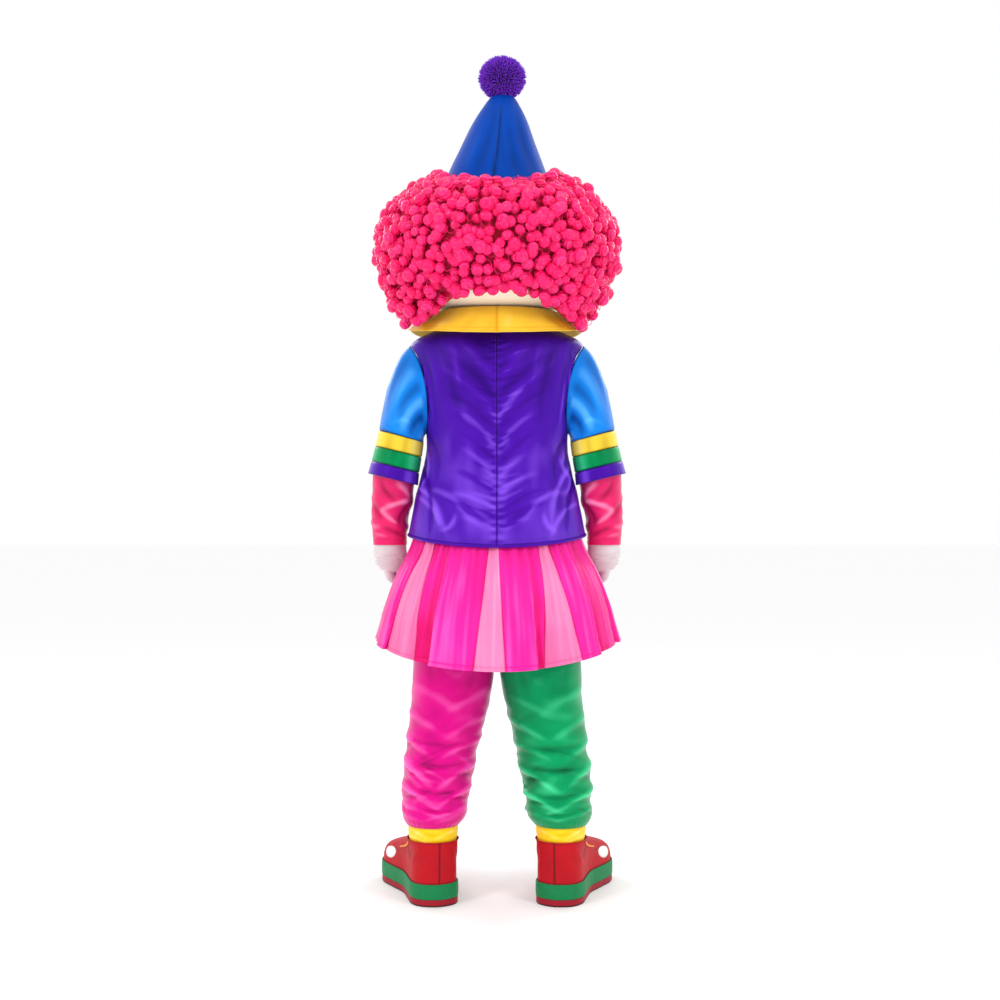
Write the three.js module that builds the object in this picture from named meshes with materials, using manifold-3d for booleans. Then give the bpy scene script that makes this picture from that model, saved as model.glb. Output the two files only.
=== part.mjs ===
import * as THREE from 'three';
import { mergeVertices } from 'three/addons/utils/BufferGeometryUtils.js';
import Module from 'manifold-3d';

// A clown mascot costume in millimetres, worn and standing, with its front towards -Y and +Z up.
// Heights in the tables are above the soles. The origin is at the base of the neck, where the
// wearer's shoulders carry the costume, so the whole costume is lowered by SHOULDER_HEIGHT.
// Left is the wearer's left, which is +X.

const SHOULDER_HEIGHT = 1400;
const SEAM_GAP = 0.3;
const CLOTH = 2;
const SHELL = 3;
const RUBBER = 4;

const wasm = await Module();
wasm.setup();

const costume = new THREE.Group();
costume.position.z = -SHOULDER_HEIGHT;

const finishes = {
  plush: { color: 0x4c1a9a, roughness: 0.95, metalness: 0 },
  hatSatin: { color: 0x0a50c8, roughness: 0.5, metalness: 0 },
  curls: { color: 0xff1f78, roughness: 0.45, metalness: 0 },
  shell: { color: 0xece6da, roughness: 0.6, metalness: 0 },
  screen: { color: 0x1a1614, roughness: 0.9, metalness: 0 },
  nose: { color: 0xd81024, roughness: 0.4, metalness: 0 },
  yellowSatin: { color: 0xfbc81e, roughness: 0.45, metalness: 0 },
  purpleSatin: { color: 0x4a12a0, roughness: 0.4, metalness: 0 },
  blueSatin: { color: 0x1f8ff0, roughness: 0.42, metalness: 0 },
  greenSatin: { color: 0x10a868, roughness: 0.42, metalness: 0 },
  pinkLeatherette: { color: 0xf0327c, roughness: 0.35, metalness: 0 },
  whiteJersey: { color: 0xf0efee, roughness: 0.8, metalness: 0 },
  hotPinkSatin: { color: 0xff1fa0, roughness: 0.4, metalness: 0 },
  lightPinkSatin: { color: 0xffa8cc, roughness: 0.4, metalness: 0 },
  magentaSatin: { color: 0xf0109a, roughness: 0.4, metalness: 0 },
  redLeather: { color: 0xe01028, roughness: 0.5, metalness: 0 },
  greenRubber: { color: 0x10a058, roughness: 0.5, metalness: 0 },
  redRubber: { color: 0xb81838, roughness: 0.6, metalness: 0 },
};

// Shared ways of making a piece

// Welds a geometry's points and drops triangles that have shrunk to nothing.
function weld(geometry) {
  geometry.deleteAttribute('normal');
  geometry.deleteAttribute('uv');
  const welded = mergeVertices(geometry, 1e-3);
  const corners = welded.index.array;
  const kept = [];
  for (let i = 0; i < corners.length; i += 3) {
    const [a, b, c] = [corners[i], corners[i + 1], corners[i + 2]];
    if (a !== b && b !== c && c !== a) {
      kept.push(a, b, c);
    }
  }
  welded.setIndex(kept);
  welded.computeVertexNormals();
  return welded;
}

function toSolid(geometry) {
  const welded = weld(geometry);
  const vertProperties = new Float32Array(welded.attributes.position.array);
  const triVerts = new Uint32Array(welded.index.array);
  return new wasm.Manifold(new wasm.Mesh({ numProp: 3, vertProperties, triVerts }));
}

function toGeometry(solid) {
  const mesh = solid.getMesh();
  const geometry = new THREE.BufferGeometry();
  geometry.setAttribute('position', new THREE.BufferAttribute(mesh.vertProperties, 3));
  geometry.setIndex(new THREE.BufferAttribute(mesh.triVerts, 1));
  geometry.computeVertexNormals();
  return geometry;
}

function addPiece(name, geometry, finish) {
  const mesh = new THREE.Mesh(geometry, new THREE.MeshStandardMaterial(finishes[finish]));
  mesh.name = name;
  costume.add(mesh);
}

// The outward normal of a surface given by turn u (anticlockwise from above) and rise v.
function outward(surface, u, v) {
  const step = 1e-3;
  const across = surface(u + step, v).sub(surface(u - step, v));
  const up = surface(u, v + step).sub(surface(u, v - step));
  return across.cross(up).normalize();
}

// A wall's point: on the surface outside, and one thickness inside it.
function wallPoint(surface, u, v, inner, thickness) {
  const point = surface(u, v);
  if (inner) {
    point.addScaledVector(outward(surface, u, v), -thickness);
  }
  return point;
}

// A cloth panel with four edges: a flat box bent onto a surface. The last group of its faces is the
// inner side, where each square is split the same way as the one outside it, so the wall stays even.
function panel(surface, across, up, thickness) {
  const geometry = new THREE.BoxGeometry(1, 1, 1, across, up, 1);
  const corners = geometry.index.array;
  const inside = geometry.groups[5];
  for (let i = inside.start; i < inside.start + inside.count; i += 6) {
    const [a, b, d, , c] = corners.slice(i, i + 5);
    corners.set([a, b, c, a, c, d], i);
  }
  const points = geometry.attributes.position;
  for (let i = 0; i < points.count; i += 1) {
    const u = Math.round((points.getX(i) + 0.5) * across) / across;
    const v = Math.round((points.getY(i) + 0.5) * up) / up;
    const place = wallPoint(surface, u, v, points.getZ(i) < 0, thickness);
    points.setXYZ(i, place.x, place.y, place.z);
  }
  return geometry;
}

// A lathe with up steps outside and innerUp inside, whose points place() then moves to the form.
function turned(around, up, innerUp, closedTop, place) {
  const profile = [];
  for (let k = innerUp; k >= 0; k -= 1) {
    profile.push(new THREE.Vector2(closedTop && k === innerUp ? 0 : 1, -1 - k));
  }
  for (let k = 0; k <= up; k += 1) {
    profile.push(new THREE.Vector2(closedTop && k === up ? 0 : 1, k));
  }
  if (!closedTop) {
    profile.push(profile[0].clone());
  }
  const geometry = new THREE.LatheGeometry(profile, around);
  const points = geometry.attributes.position;
  const turns = geometry.attributes.uv;
  for (let i = 0; i < points.count; i += 1) {
    const u = (Math.round(turns.getX(i) * around) % around) / around;
    const level = Math.round(points.getY(i));
    const inner = level < 0;
    const v = inner ? (-1 - level) / innerUp : level / up;
    const spot = place(u, v, inner);
    points.setXYZ(i, spot.x, spot.y, spot.z);
  }
  return geometry;
}

// A cloth tube, open at both ends.
function tube(surface, around, up, thickness, innerUp = up) {
  return turned(around, up, innerUp, false, (u, v, inner) => wallPoint(surface, u, v, inner, thickness));
}

// A solid with no hollow, closed at both poles of its surface.
function lump(surface, around, up) {
  const profile = [];
  for (let k = 0; k <= up; k += 1) {
    profile.push(new THREE.Vector2(k === 0 || k === up ? 0 : 1, k));
  }
  const geometry = new THREE.LatheGeometry(profile, around);
  const points = geometry.attributes.position;
  const turns = geometry.attributes.uv;
  for (let i = 0; i < points.count; i += 1) {
    const u = (Math.round(turns.getX(i) * around) % around) / around;
    const place = surface(u, Math.round(points.getY(i)) / up);
    points.setXYZ(i, place.x, place.y, place.z);
  }
  return geometry;
}

// Reads one column of a table at a place from 0 to 1 along it, on a smooth curve through its rows.
function along(rows, column, place) {
  const position = place * (rows.length - 1);
  const i = Math.min(Math.max(Math.floor(position), 0), rows.length - 2);
  const f = position - i;
  const before = rows[Math.max(i - 1, 0)][column];
  const start = rows[i][column];
  const end = rows[i + 1][column];
  const after = rows[Math.min(i + 2, rows.length - 1)][column];
  const bend = 2 * before - 5 * start + 4 * end - after;
  const twist = 3 * (start - end) + after - before;
  return start + 0.5 * f * (end - before + f * (bend + f * twist));
}

// The place along a table at which a rising column reaches a value.
function placeOf(rows, column, value) {
  let low = 0;
  let high = 1;
  for (let i = 0; i < 40; i += 1) {
    const middle = (low + high) / 2;
    if (along(rows, column, middle) < value) {
      low = middle;
    } else {
      high = middle;
    }
  }
  return (low + high) / 2;
}

const mix = (a, b, share) => a + (b - a) * share;
const degrees = (angle) => (angle * Math.PI) / 180;
const smooth = (from, to, value) => {
  const share = THREE.MathUtils.clamp((value - from) / (to - from), 0, 1);
  return share * share * (3 - 2 * share);
};
const bell = (value, centre, width) => Math.exp(-(((value - centre) / width) ** 2));

// Part of a surface between two turns, less half a seam gap at each end. It isn't read past its edges.
function cut(surface, from, to, halfGap) {
  return (u, v) => surface(mix(from + halfGap, to - halfGap, THREE.MathUtils.clamp(u, 0, 1)), v);
}

// The same piece for the other side of the body.
function mirrored(surface) {
  return (u, v) => {
    const point = surface(1 - u, v);
    point.x = -point.x;
    return point;
  };
}

const sides = [
  { name: 'left', sign: 1, turn: (surface) => surface },
  { name: 'right', sign: -1, turn: mirrored },
];

// Head shell: an oversized moulded head, open at the neck, with two eye openings and a round nose

const headRows = [
  { height: 1428, halfWidth: 102, halfDepth: 82.4 },
  { height: 1450, halfWidth: 105.5, halfDepth: 87 },
  { height: 1462, halfWidth: 180, halfDepth: 150 },
  { height: 1490, halfWidth: 236, halfDepth: 200 },
  { height: 1540, halfWidth: 258, halfDepth: 226 },
  { height: 1600, halfWidth: 258, halfDepth: 230 },
  { height: 1660, halfWidth: 236, halfDepth: 214 },
  { height: 1705, halfWidth: 190, halfDepth: 176 },
  { height: 1735, halfWidth: 115, halfDepth: 108 },
  { height: 1745, halfWidth: 0, halfDepth: 0 },
];
const EYE_HALF_WIDTH = 34;
const EYE_HALF_HEIGHT = 42;
const EYE_X = 78;
const EYE_HEIGHT = 1612;
const EYE_SCREEN = 1.5;
const EYE_SCREEN_INSET = 0.7;
const NOSE_RADIUS = 38;
const NOSE_HEIGHT = 1556;
const NOSE_STANDS_OUT = 0.55;
const HEAD_AROUND = 26;

function headPoint(u, v, inset) {
  const angle = degrees(360 * u);
  const halfWidth = Math.max(along(headRows, 'halfWidth', v) - inset, 0);
  const halfDepth = Math.max(along(headRows, 'halfDepth', v) - inset, 0);
  const height = along(headRows, 'height', v) - inset * v * v;
  return new THREE.Vector3(halfWidth * Math.cos(angle), halfDepth * Math.sin(angle), height);
}

function headBulk(inset) {
  const steps = headRows.length;
  return toSolid(lump((u, v) => {
    const row = Math.max(v * steps - 1, 0) / (steps - 1);
    const point = headPoint(u, row, inset);
    return v === 0 || v === 1 ? new THREE.Vector3(0, 0, point.z) : point;
  }, HEAD_AROUND, steps));
}

function eyeOval(x, inset) {
  const oval = new THREE.CylinderGeometry(1, 1, 200, 14);
  oval.scale(EYE_HALF_WIDTH - inset, 1, EYE_HALF_HEIGHT - inset);
  oval.translate(x, -200, EYE_HEIGHT);
  return toSolid(oval);
}

function addHead() {
  const steps = headRows.length - 1;
  const shell = turned(HEAD_AROUND, steps, steps, true, (u, v, inner) => headPoint(u, v, inner ? SHELL : 0));
  let solid = toSolid(shell);
  const behind = headBulk(EYE_SCREEN_INSET + EYE_SCREEN);
  const layer = headBulk(EYE_SCREEN_INSET).subtract(behind);
  for (const side of sides) {
    solid = solid.subtract(eyeOval(side.sign * EYE_X, 0));
    const screen = layer.intersect(eyeOval(side.sign * EYE_X, SEAM_GAP));
    addPiece(`eye_screen_${side.name}`, toGeometry(screen), 'screen');
  }
  addPiece('head_shell', toGeometry(solid), 'shell');

  const ball = new THREE.SphereGeometry(NOSE_RADIUS, 14, 9);
  const faceDepth = along(headRows, 'halfDepth', placeOf(headRows, 'height', NOSE_HEIGHT));
  ball.translate(0, -faceDepth - NOSE_STANDS_OUT * NOSE_RADIUS, NOSE_HEIGHT);
  addPiece('nose', toGeometry(toSolid(ball).subtract(headBulk(-SEAM_GAP))), 'nose');
}

// Wig: a cap of curls round the head shell, open at the face

const wigRows = [
  { height: 1476, halfWidth: 226, halfDepth: 192 },
  { height: 1496, halfWidth: 252, halfDepth: 218 },
  { height: 1530, halfWidth: 270, halfDepth: 240 },
  { height: 1580, halfWidth: 281, halfDepth: 258 },
  { height: 1640, halfWidth: 278, halfDepth: 254 },
  { height: 1695, halfWidth: 250, halfDepth: 232 },
  { height: 1740, halfWidth: 214, halfDepth: 200 },
  { height: 1766, halfWidth: 172, halfDepth: 168 },
  { height: 1780, halfWidth: 148, halfDepth: 145 },
];
// The lower edge, by degrees from the centre back: an arch at the nape, lobes, then the face.
const wigEdges = [
  { fromBack: 0, height: 1478 },
  { fromBack: 24, height: 1474 },
  { fromBack: 34, height: 1456 },
  { fromBack: 44, height: 1434 },
  { fromBack: 56, height: 1414 },
  { fromBack: 67, height: 1406 },
  { fromBack: 76, height: 1422 },
  { fromBack: 85, height: 1466 },
  { fromBack: 94, height: 1502 },
  { fromBack: 104, height: 1530 },
  { fromBack: 114, height: 1572 },
  { fromBack: 124, height: 1640 },
  { fromBack: 136, height: 1688 },
  { fromBack: 180, height: 1690 },
];
// The crown dips behind the hat, and most at the parting on the centre back.
const CROWN_DIP = 44;
const PARTING_DIP = 8;
const PARTING_HALF_TURN = 10;
const WIG_AROUND = 56;
const WIG_UP = 14;
const CURL_HEIGHT = 14;
const WIG_GAP = 0.5;
const WIG_CORE_HEIGHT = 1570;

// How far a point of the curls' grid stands out: each curl is one raised point among lower ones,
// in rows that are set half a curl apart.
function curlHeight(column, level) {
  if (level === 0 || level === WIG_UP) {
    return 0;
  }
  const uneven = 0.8 + 0.35 * Math.sin(column * 5.3 + level * 3.1) * Math.sin(column * 1.7 - level * 4.3);
  if (level % 2 === 0) {
    return -0.5 * CURL_HEIGHT * uneven;
  }
  const onCurl = (column + (level - 1) / 2) % 2 === 0;
  return (onCurl ? 1 : -0.3) * CURL_HEIGHT * uneven;
}

// A point of the curls' outside.
function wigPoint(column, level) {
  const angle = (360 * column) / WIG_AROUND;
  const fromBack = Math.abs(((angle + 90) % 360) - 180);
  const turn = degrees(angle);
  const edge = along(wigEdges, 'height', placeOf(wigEdges, 'fromBack', fromBack));
  const lowest = wigRows[0].height;
  const rise = level / WIG_UP;
  const row = mix(placeOf(wigRows, 'height', Math.max(edge, lowest)), 1, rise);
  const hang = Math.max(lowest - edge, 0) * (1 - rise) ** 2;
  const parting = PARTING_DIP * bell(fromBack, 0, PARTING_HALF_TURN);
  const dip = CROWN_DIP * Math.max(Math.sin(turn), 0) ** 1.3 + parting;
  const height = along(wigRows, 'height', row) - hang - dip * smooth(0.5, 1, rise);
  const bump = curlHeight(column, level);
  const x = (along(wigRows, 'halfWidth', row) + bump) * Math.cos(turn);
  const y = (along(wigRows, 'halfDepth', row) + bump) * Math.sin(turn);
  return new THREE.Vector3(x, y, height);
}

function addWig() {
  const levels = WIG_UP + 2;
  const outside = lump((u, v) => {
    const level = Math.round(v * levels) - 1;
    if (level < 0) {
      return new THREE.Vector3(0, 0, WIG_CORE_HEIGHT);
    }
    if (level > WIG_UP) {
      return new THREE.Vector3(0, 0, wigRows[wigRows.length - 1].height);
    }
    return wigPoint(Math.round(u * WIG_AROUND), level);
  }, WIG_AROUND, levels);
  const hatBulk = toSolid(lump((u, v) => {
    const row = Math.max(v * hatRows.length - 1, 0) / (hatRows.length - 1);
    const point = hatPoint(u, row, -WIG_GAP);
    point.z -= v < 1 ? WIG_GAP : 0;
    return v === 0 || v === 1 ? new THREE.Vector3(0, 0, point.z) : point;
  }, HAT_AROUND, hatRows.length));
  const curls = toSolid(outside).subtract(headBulk(-WIG_GAP)).subtract(hatBulk);
  addPiece('wig', toGeometry(curls), 'curls');
}

// Hat: a cone sewn at the centre back, and a plush pompom on its tip

const hatRows = [
  { height: 1735, halfWidth: 140, lean: 0 },
  { height: 1770, halfWidth: 127, lean: 0 },
  { height: 1809, halfWidth: 112, lean: -1 },
  { height: 1856, halfWidth: 92, lean: -4 },
  { height: 1907, halfWidth: 70, lean: -8 },
  { height: 1945, halfWidth: 49, lean: -11 },
  { height: 1975, halfWidth: 27, lean: -13 },
  { height: 1977, halfWidth: 0, lean: -13 },
];
const HAT_AROUND = 24;
const POMPOM_RADIUS = 55;
const POMPOM_CORE = 0.78;
const POMPOM_HEIGHT = 2022;
const POMPOM_WIDER = 1.03;
const POMPOM_LOWER = 0.94;

function hatPoint(u, v, inset) {
  const angle = degrees(360 * u);
  const halfWidth = Math.max(along(hatRows, 'halfWidth', v) - inset, 0);
  const centre = along(hatRows, 'lean', v);
  const height = along(hatRows, 'height', v) - inset * v;
  return new THREE.Vector3(centre + halfWidth * Math.cos(angle), halfWidth * Math.sin(angle), height);
}

function addHat() {
  const steps = hatRows.length - 1;
  const hat = turned(HAT_AROUND, steps, 3, true, (u, v, inner) => hatPoint(u, v, inner ? CLOTH : 0));
  addPiece('hat_cone', hat, 'hatSatin');
}

// The pompom is a core with a three-sided lock standing on each of its faces.
function addPompom() {
  const core = new THREE.IcosahedronGeometry(POMPOM_RADIUS * POMPOM_CORE, 2);
  const faces = core.attributes.position;
  const corners = [];
  for (let i = 0; i < faces.count; i += 3) {
    const [a, b, c] = [0, 1, 2].map((k) => new THREE.Vector3().fromBufferAttribute(faces, i + k));
    const tip = new THREE.Vector3().add(a).add(b).add(c).setLength(POMPOM_RADIUS);
    for (const corner of [a, b, tip, b, c, tip, c, a, tip]) {
      corners.push(corner.x, corner.y, corner.z);
    }
  }
  const ball = new THREE.BufferGeometry();
  ball.setAttribute('position', new THREE.Float32BufferAttribute(corners, 3));
  ball.scale(POMPOM_WIDER, POMPOM_WIDER, POMPOM_LOWER);
  const top = hatRows[hatRows.length - 1];
  ball.translate(top.lean, 0, POMPOM_HEIGHT);
  const seat = new THREE.BoxGeometry(200, 200, 100);
  seat.translate(top.lean, 0, top.height + SEAM_GAP - 50);
  addPiece('pompom', toGeometry(toSolid(ball).subtract(toSolid(seat))), 'plush');
}

// Torso: one surface that the vest's four panels and the hem binding are cut from

const torsoRows = [
  { height: 904, halfWidth: 217, halfDepth: 160 },
  { height: 956, halfWidth: 207, halfDepth: 154 },
  { height: 1005, halfWidth: 196, halfDepth: 145 },
  { height: 1056, halfWidth: 184, halfDepth: 137 },
  { height: 1110, halfWidth: 173, halfDepth: 131 },
  { height: 1165, halfWidth: 176, halfDepth: 129 },
  { height: 1225, halfWidth: 188, halfDepth: 128 },
  { height: 1285, halfWidth: 198, halfDepth: 126 },
  { height: 1335, halfWidth: 206, halfDepth: 120 },
  { height: 1368, halfWidth: 209, halfDepth: 108 },
  { height: 1393, halfWidth: 168, halfDepth: 98 },
  { height: 1412, halfWidth: 106.5, halfDepth: 86.5 },
];
const HEM_BACK_DROP = 24;
const BINDING_RADIUS = 3.5;
// Half a seam gap as a share of a turn.
const VEST_HALF_GAP = 0.00018;

// Vest folds: azimuth in degrees from the centre back, positive to the left; heights and depth in mm.
const vestFolds = [
  { top: 30, topHeight: 1330, bottom: 22, bottomHeight: 1060, depth: 4, width: 6 },
  { top: -34, topHeight: 1320, bottom: -24, bottomHeight: 1080, depth: 4, width: 6 },
  { top: 10, topHeight: 1100, bottom: 48, bottomHeight: 930, depth: 5, width: 8 },
  { top: -12, topHeight: 1090, bottom: -52, bottomHeight: 940, depth: 5, width: 8 },
  { top: 62, topHeight: 1100, bottom: 66, bottomHeight: 930, depth: 4, width: 7 },
  { top: -64, topHeight: 1090, bottom: -70, bottomHeight: 930, depth: 4, width: 7 },
  { top: 146, topHeight: 1300, bottom: 152, bottomHeight: 1040, depth: 4, width: 8 },
  { top: -148, topHeight: 1290, bottom: -140, bottomHeight: 1000, depth: 4, width: 8 },
  { top: 122, topHeight: 1080, bottom: 128, bottomHeight: 930, depth: 4, width: 8 },
  { top: -120, topHeight: 1090, bottom: -126, bottomHeight: 930, depth: 4, width: 8 },
];

function foldDepth(folds, fromBack, height) {
  let depth = 0;
  for (const fold of folds) {
    const share = (fold.topHeight - height) / (fold.topHeight - fold.bottomHeight);
    const centre = mix(fold.top, fold.bottom, share);
    const ends = smooth(-0.15, 0.25, share) * smooth(1.15, 0.75, share);
    const apart = ((fromBack - centre + 540) % 360) - 180;
    depth += fold.depth * ends * bell(apart, 0, fold.width);
  }
  return depth;
}

function torsoPoint(u, v) {
  const angle = 360 * u;
  const fromBack = 90 - angle;
  const turn = degrees(angle);
  const dip = HEM_BACK_DROP * Math.max(Math.sin(turn), 0) ** 1.5 * (1 - v) ** 6;
  const height = along(torsoRows, 'height', v);
  const fold = foldDepth(vestFolds, fromBack, height);
  const x = (along(torsoRows, 'halfWidth', v) - fold) * Math.cos(turn);
  const y = (along(torsoRows, 'halfDepth', v) - fold) * Math.sin(turn);
  return new THREE.Vector3(x, y, height - dip);
}

// Armhole: an upright oval cut through the vest's side.
const ARMHOLE_HEIGHT = 1256;
const ARMHOLE_HALF_HEIGHT = 108;
const ARMHOLE_HALF_DEPTH = 60;
const ARMHOLE_EASE = 1;
const ARMHOLE_SIDES = 28;

function armholeCutter(sign) {
  const cutter = new THREE.CylinderGeometry(1, 1, 160, ARMHOLE_SIDES);
  cutter.rotateZ(Math.PI / 2);
  cutter.scale(1, ARMHOLE_HALF_DEPTH + ARMHOLE_EASE, ARMHOLE_HALF_HEIGHT + ARMHOLE_EASE);
  cutter.translate(sign * 200, 0, ARMHOLE_HEIGHT);
  return toSolid(cutter);
}

function addVest() {
  const panels = [
    { name: 'vest_back_left', from: 0, to: 0.25, sign: 1 },
    { name: 'vest_back_right', from: 0.25, to: 0.5, sign: -1 },
    { name: 'vest_front_right', from: 0.5, to: 0.75, sign: -1 },
    { name: 'vest_front_left', from: 0.75, to: 1, sign: 1 },
  ];
  for (const part of panels) {
    const surface = cut(torsoPoint, part.from, part.to, VEST_HALF_GAP);
    const cloth = toSolid(panel(surface, 7, 10, CLOTH));
    addPiece(part.name, toGeometry(cloth.subtract(armholeCutter(part.sign))), 'purpleSatin');
  }

  // The binding is a round roll along the hem, just below the panels' lower edge.
  const binding = (u, v) => {
    const hem = torsoPoint(u, 0);
    const around = degrees(360 * v);
    const out = new THREE.Vector3(hem.x, hem.y, 0).normalize();
    const centre = hem.addScaledVector(out, -CLOTH / 2);
    centre.z -= BINDING_RADIUS + 2 * SEAM_GAP;
    centre.addScaledVector(out, BINDING_RADIUS * Math.sin(around));
    centre.z -= BINDING_RADIUS * Math.cos(around);
    return centre;
  };
  addPiece('vest_hem_binding', roll(binding, 36, 4), 'purpleSatin');
}

// A closed roll: a torus whose points a surface of turn u and girth v places.
function roll(surface, around, girth) {
  const profile = [];
  for (let k = 0; k <= girth; k += 1) {
    const angle = degrees((360 * k) / girth);
    profile.push(new THREE.Vector2(3 + Math.sin(angle), -Math.cos(angle)));
  }
  const geometry = new THREE.LatheGeometry(profile, around);
  const points = geometry.attributes.position;
  const turns = geometry.attributes.uv;
  for (let i = 0; i < points.count; i += 1) {
    const u = (Math.round(turns.getX(i) * around) % around) / around;
    const v = (Math.round(turns.getY(i) * girth) % girth) / girth;
    const place = surface(u, v);
    points.setXYZ(i, place.x, place.y, place.z);
  }
  return geometry;
}

// Collar: a stand at the neck that rolls over into a wide fall, open at the centre front

const COLLAR_HALF_OPENING = 0.02;
const collarRows = [
  { halfWidth: 102, halfDepth: 82, height: 1409 },
  { halfWidth: 103.5, halfDepth: 84, height: 1428 },
  { halfWidth: 109, halfDepth: 88, height: 1443 },
  { halfWidth: 124, halfDepth: 98, height: 1450 },
  { halfWidth: 150, halfDepth: 114, height: 1445 },
  { halfWidth: 184, halfDepth: 132, height: 1428 },
  { halfWidth: 210, halfDepth: 146, height: 1411 },
  { halfWidth: 222, halfDepth: 156, height: 1397 },
];
const COLLAR_BACK_DROP = 16;

function collarPoint(u, v) {
  // Across the collar the wall faces up and out, so its rows run from the fall's edge to the stand.
  const turn = degrees(mix(-90 + 360 * COLLAR_HALF_OPENING, 270 - 360 * COLLAR_HALF_OPENING, u));
  const row = 1 - v;
  const level = Math.sin(turn) ** 2;
  const fall = smooth(0.45, 1, row);
  const frontRound = bell(Math.abs(turn - Math.PI / 2), Math.PI, 0.3);
  const x = along(collarRows, 'halfWidth', row) * Math.cos(turn);
  const y = along(collarRows, 'halfDepth', row) * Math.sin(turn);
  const z = along(collarRows, 'height', row) - COLLAR_BACK_DROP * level * fall + 8 * frontRound * fall;
  return new THREE.Vector3(x, y, z);
}

function addCollar() {
  addPiece('collar', panel(collarPoint, 28, 6, CLOTH), 'yellowSatin');
}

// Sleeves: a short sleeve set into each armhole, and three bands below it

const sleeveRings = [
  { outerX: 316, outerHeight: 1050, innerX: 194, innerHeight: 1021, halfDepth: 80 },
  { outerX: 307, outerHeight: 1081, innerX: 191, innerHeight: 1052, halfDepth: 78 },
  { outerX: 298, outerHeight: 1117, innerX: 185, innerHeight: 1090, halfDepth: 76 },
  { outerX: 290, outerHeight: 1155, innerX: 180, innerHeight: 1126, halfDepth: 74 },
];
const BANDS_LENGTH = 110;
const bandNames = [
  { name: 'purple', finish: 'purpleSatin' },
  { name: 'green', finish: 'greenSatin' },
  { name: 'yellow', finish: 'yellowSatin' },
];

function sleeveRing(u, place) {
  const turn = degrees(360 * u);
  const outerX = along(sleeveRings, 'outerX', place);
  const innerX = along(sleeveRings, 'innerX', place);
  const outerHeight = along(sleeveRings, 'outerHeight', place);
  const innerHeight = along(sleeveRings, 'innerHeight', place);
  const share = (1 + Math.cos(turn)) / 2;
  const y = along(sleeveRings, 'halfDepth', place) * Math.sin(turn);
  return new THREE.Vector3(mix(innerX, outerX, share), y, mix(innerHeight, outerHeight, share));
}

// The sleeve's head stands on the vest round the armhole.
function armholePoint(u) {
  const turn = degrees(360 * u);
  const y = ARMHOLE_HALF_DEPTH * Math.sin(turn);
  const height = ARMHOLE_HEIGHT + ARMHOLE_HALF_HEIGHT * Math.cos(turn);
  const row = placeOf(torsoRows, 'height', height);
  const reach = y / along(torsoRows, 'halfDepth', row);
  const x = along(torsoRows, 'halfWidth', row) * Math.sqrt(1 - reach * reach);
  return new THREE.Vector3(x + 2 * SEAM_GAP, y, height);
}

function sleevePoint(u, v) {
  const turn = degrees(360 * u);
  const armhole = armholePoint(u);
  const ring = sleeveRing(u, 1);
  const crown = ((1 + Math.cos(turn)) / 2) ** 1.5;
  const armpit = ((1 - Math.cos(turn)) / 2) ** 3;
  const bend = armhole.clone().lerp(ring, 0.5);
  bend.x += 13 * crown + 5 * armpit;
  bend.y += 12 * Math.sin(turn);
  bend.z += 70 * crown;
  const t = 1 - v;
  const point = armhole.multiplyScalar((1 - t) ** 2);
  point.addScaledVector(bend, 2 * t * (1 - t));
  point.addScaledVector(ring, t * t);
  return point;
}

// The sleeve stops short of its first band, by a larger share where it is short under the arm.
function sleeveSeam(u) {
  const armpit = ((1 - Math.cos(degrees(360 * u))) / 2) ** 3;
  return mix(1 / 190, 1 / 20, armpit);
}

function addSleeves() {
  for (const side of sides) {
    const sleeve = side.turn((u, v) => sleevePoint(u, mix(sleeveSeam(u), 1, v)));
    addPiece(`sleeve_${side.name}`, tube(sleeve, 14, 4, CLOTH, 3), 'blueSatin');
    const steps = sleeveRings.length - 1;
    bandNames.forEach((band, i) => {
      const halfGap = SEAM_GAP / 2 / BANDS_LENGTH;
      const from = i / steps + halfGap;
      const to = (i + 1) / steps - halfGap;
      const ring = side.turn((u, v) => sleeveRing(u, mix(from, to, v)));
      addPiece(`band_${band.name}_${side.name}`, tube(ring, 14, 1, CLOTH), band.finish);
    });
  }
}

// Undersleeves: each sewn inside the short sleeve, down to the wrist

const undersleeveRows = [
  { height: 874, centreX: 266, centreY: -44, halfWidth: 42, halfDepth: 43 },
  { height: 886, centreX: 266, centreY: -42, halfWidth: 42.5, halfDepth: 43 },
  { height: 905, centreX: 267, centreY: -39, halfWidth: 43, halfDepth: 44 },
  { height: 925, centreX: 265, centreY: -35, halfWidth: 46, halfDepth: 48 },
  { height: 950, centreX: 267, centreY: -30, halfWidth: 45, halfDepth: 49 },
  { height: 985, centreX: 258, centreY: -22, halfWidth: 50, halfDepth: 54 },
  { height: 1020, centreX: 257, centreY: -14, halfWidth: 51, halfDepth: 58 },
  { height: 1062, centreX: 250, centreY: -6, halfWidth: 54, halfDepth: 68 },
];

function undersleevePoint(u, v) {
  const turn = degrees(360 * u);
  const height = along(undersleeveRows, 'height', v);
  const pucker = 1.8 * Math.sin(3 * turn + height / 9) * smooth(0.3, 0.5, v) * smooth(1, 0.7, v);
  const halfWidth = along(undersleeveRows, 'halfWidth', v) + pucker;
  const halfDepth = along(undersleeveRows, 'halfDepth', v) + pucker;
  const x = along(undersleeveRows, 'centreX', v) + halfWidth * Math.cos(turn);
  const y = along(undersleeveRows, 'centreY', v) + halfDepth * Math.sin(turn);
  return new THREE.Vector3(x, y, height + 12 * v * Math.cos(turn));
}

function addUndersleeves() {
  for (const side of sides) {
    const surface = side.turn(undersleevePoint);
    addPiece(`undersleeve_${side.name}`, tube(surface, 12, 7, CLOTH, 5), 'pinkLeatherette');
  }
}

// Gloves: a hollow palm and wrist with four curled fingers and a thumb

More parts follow.
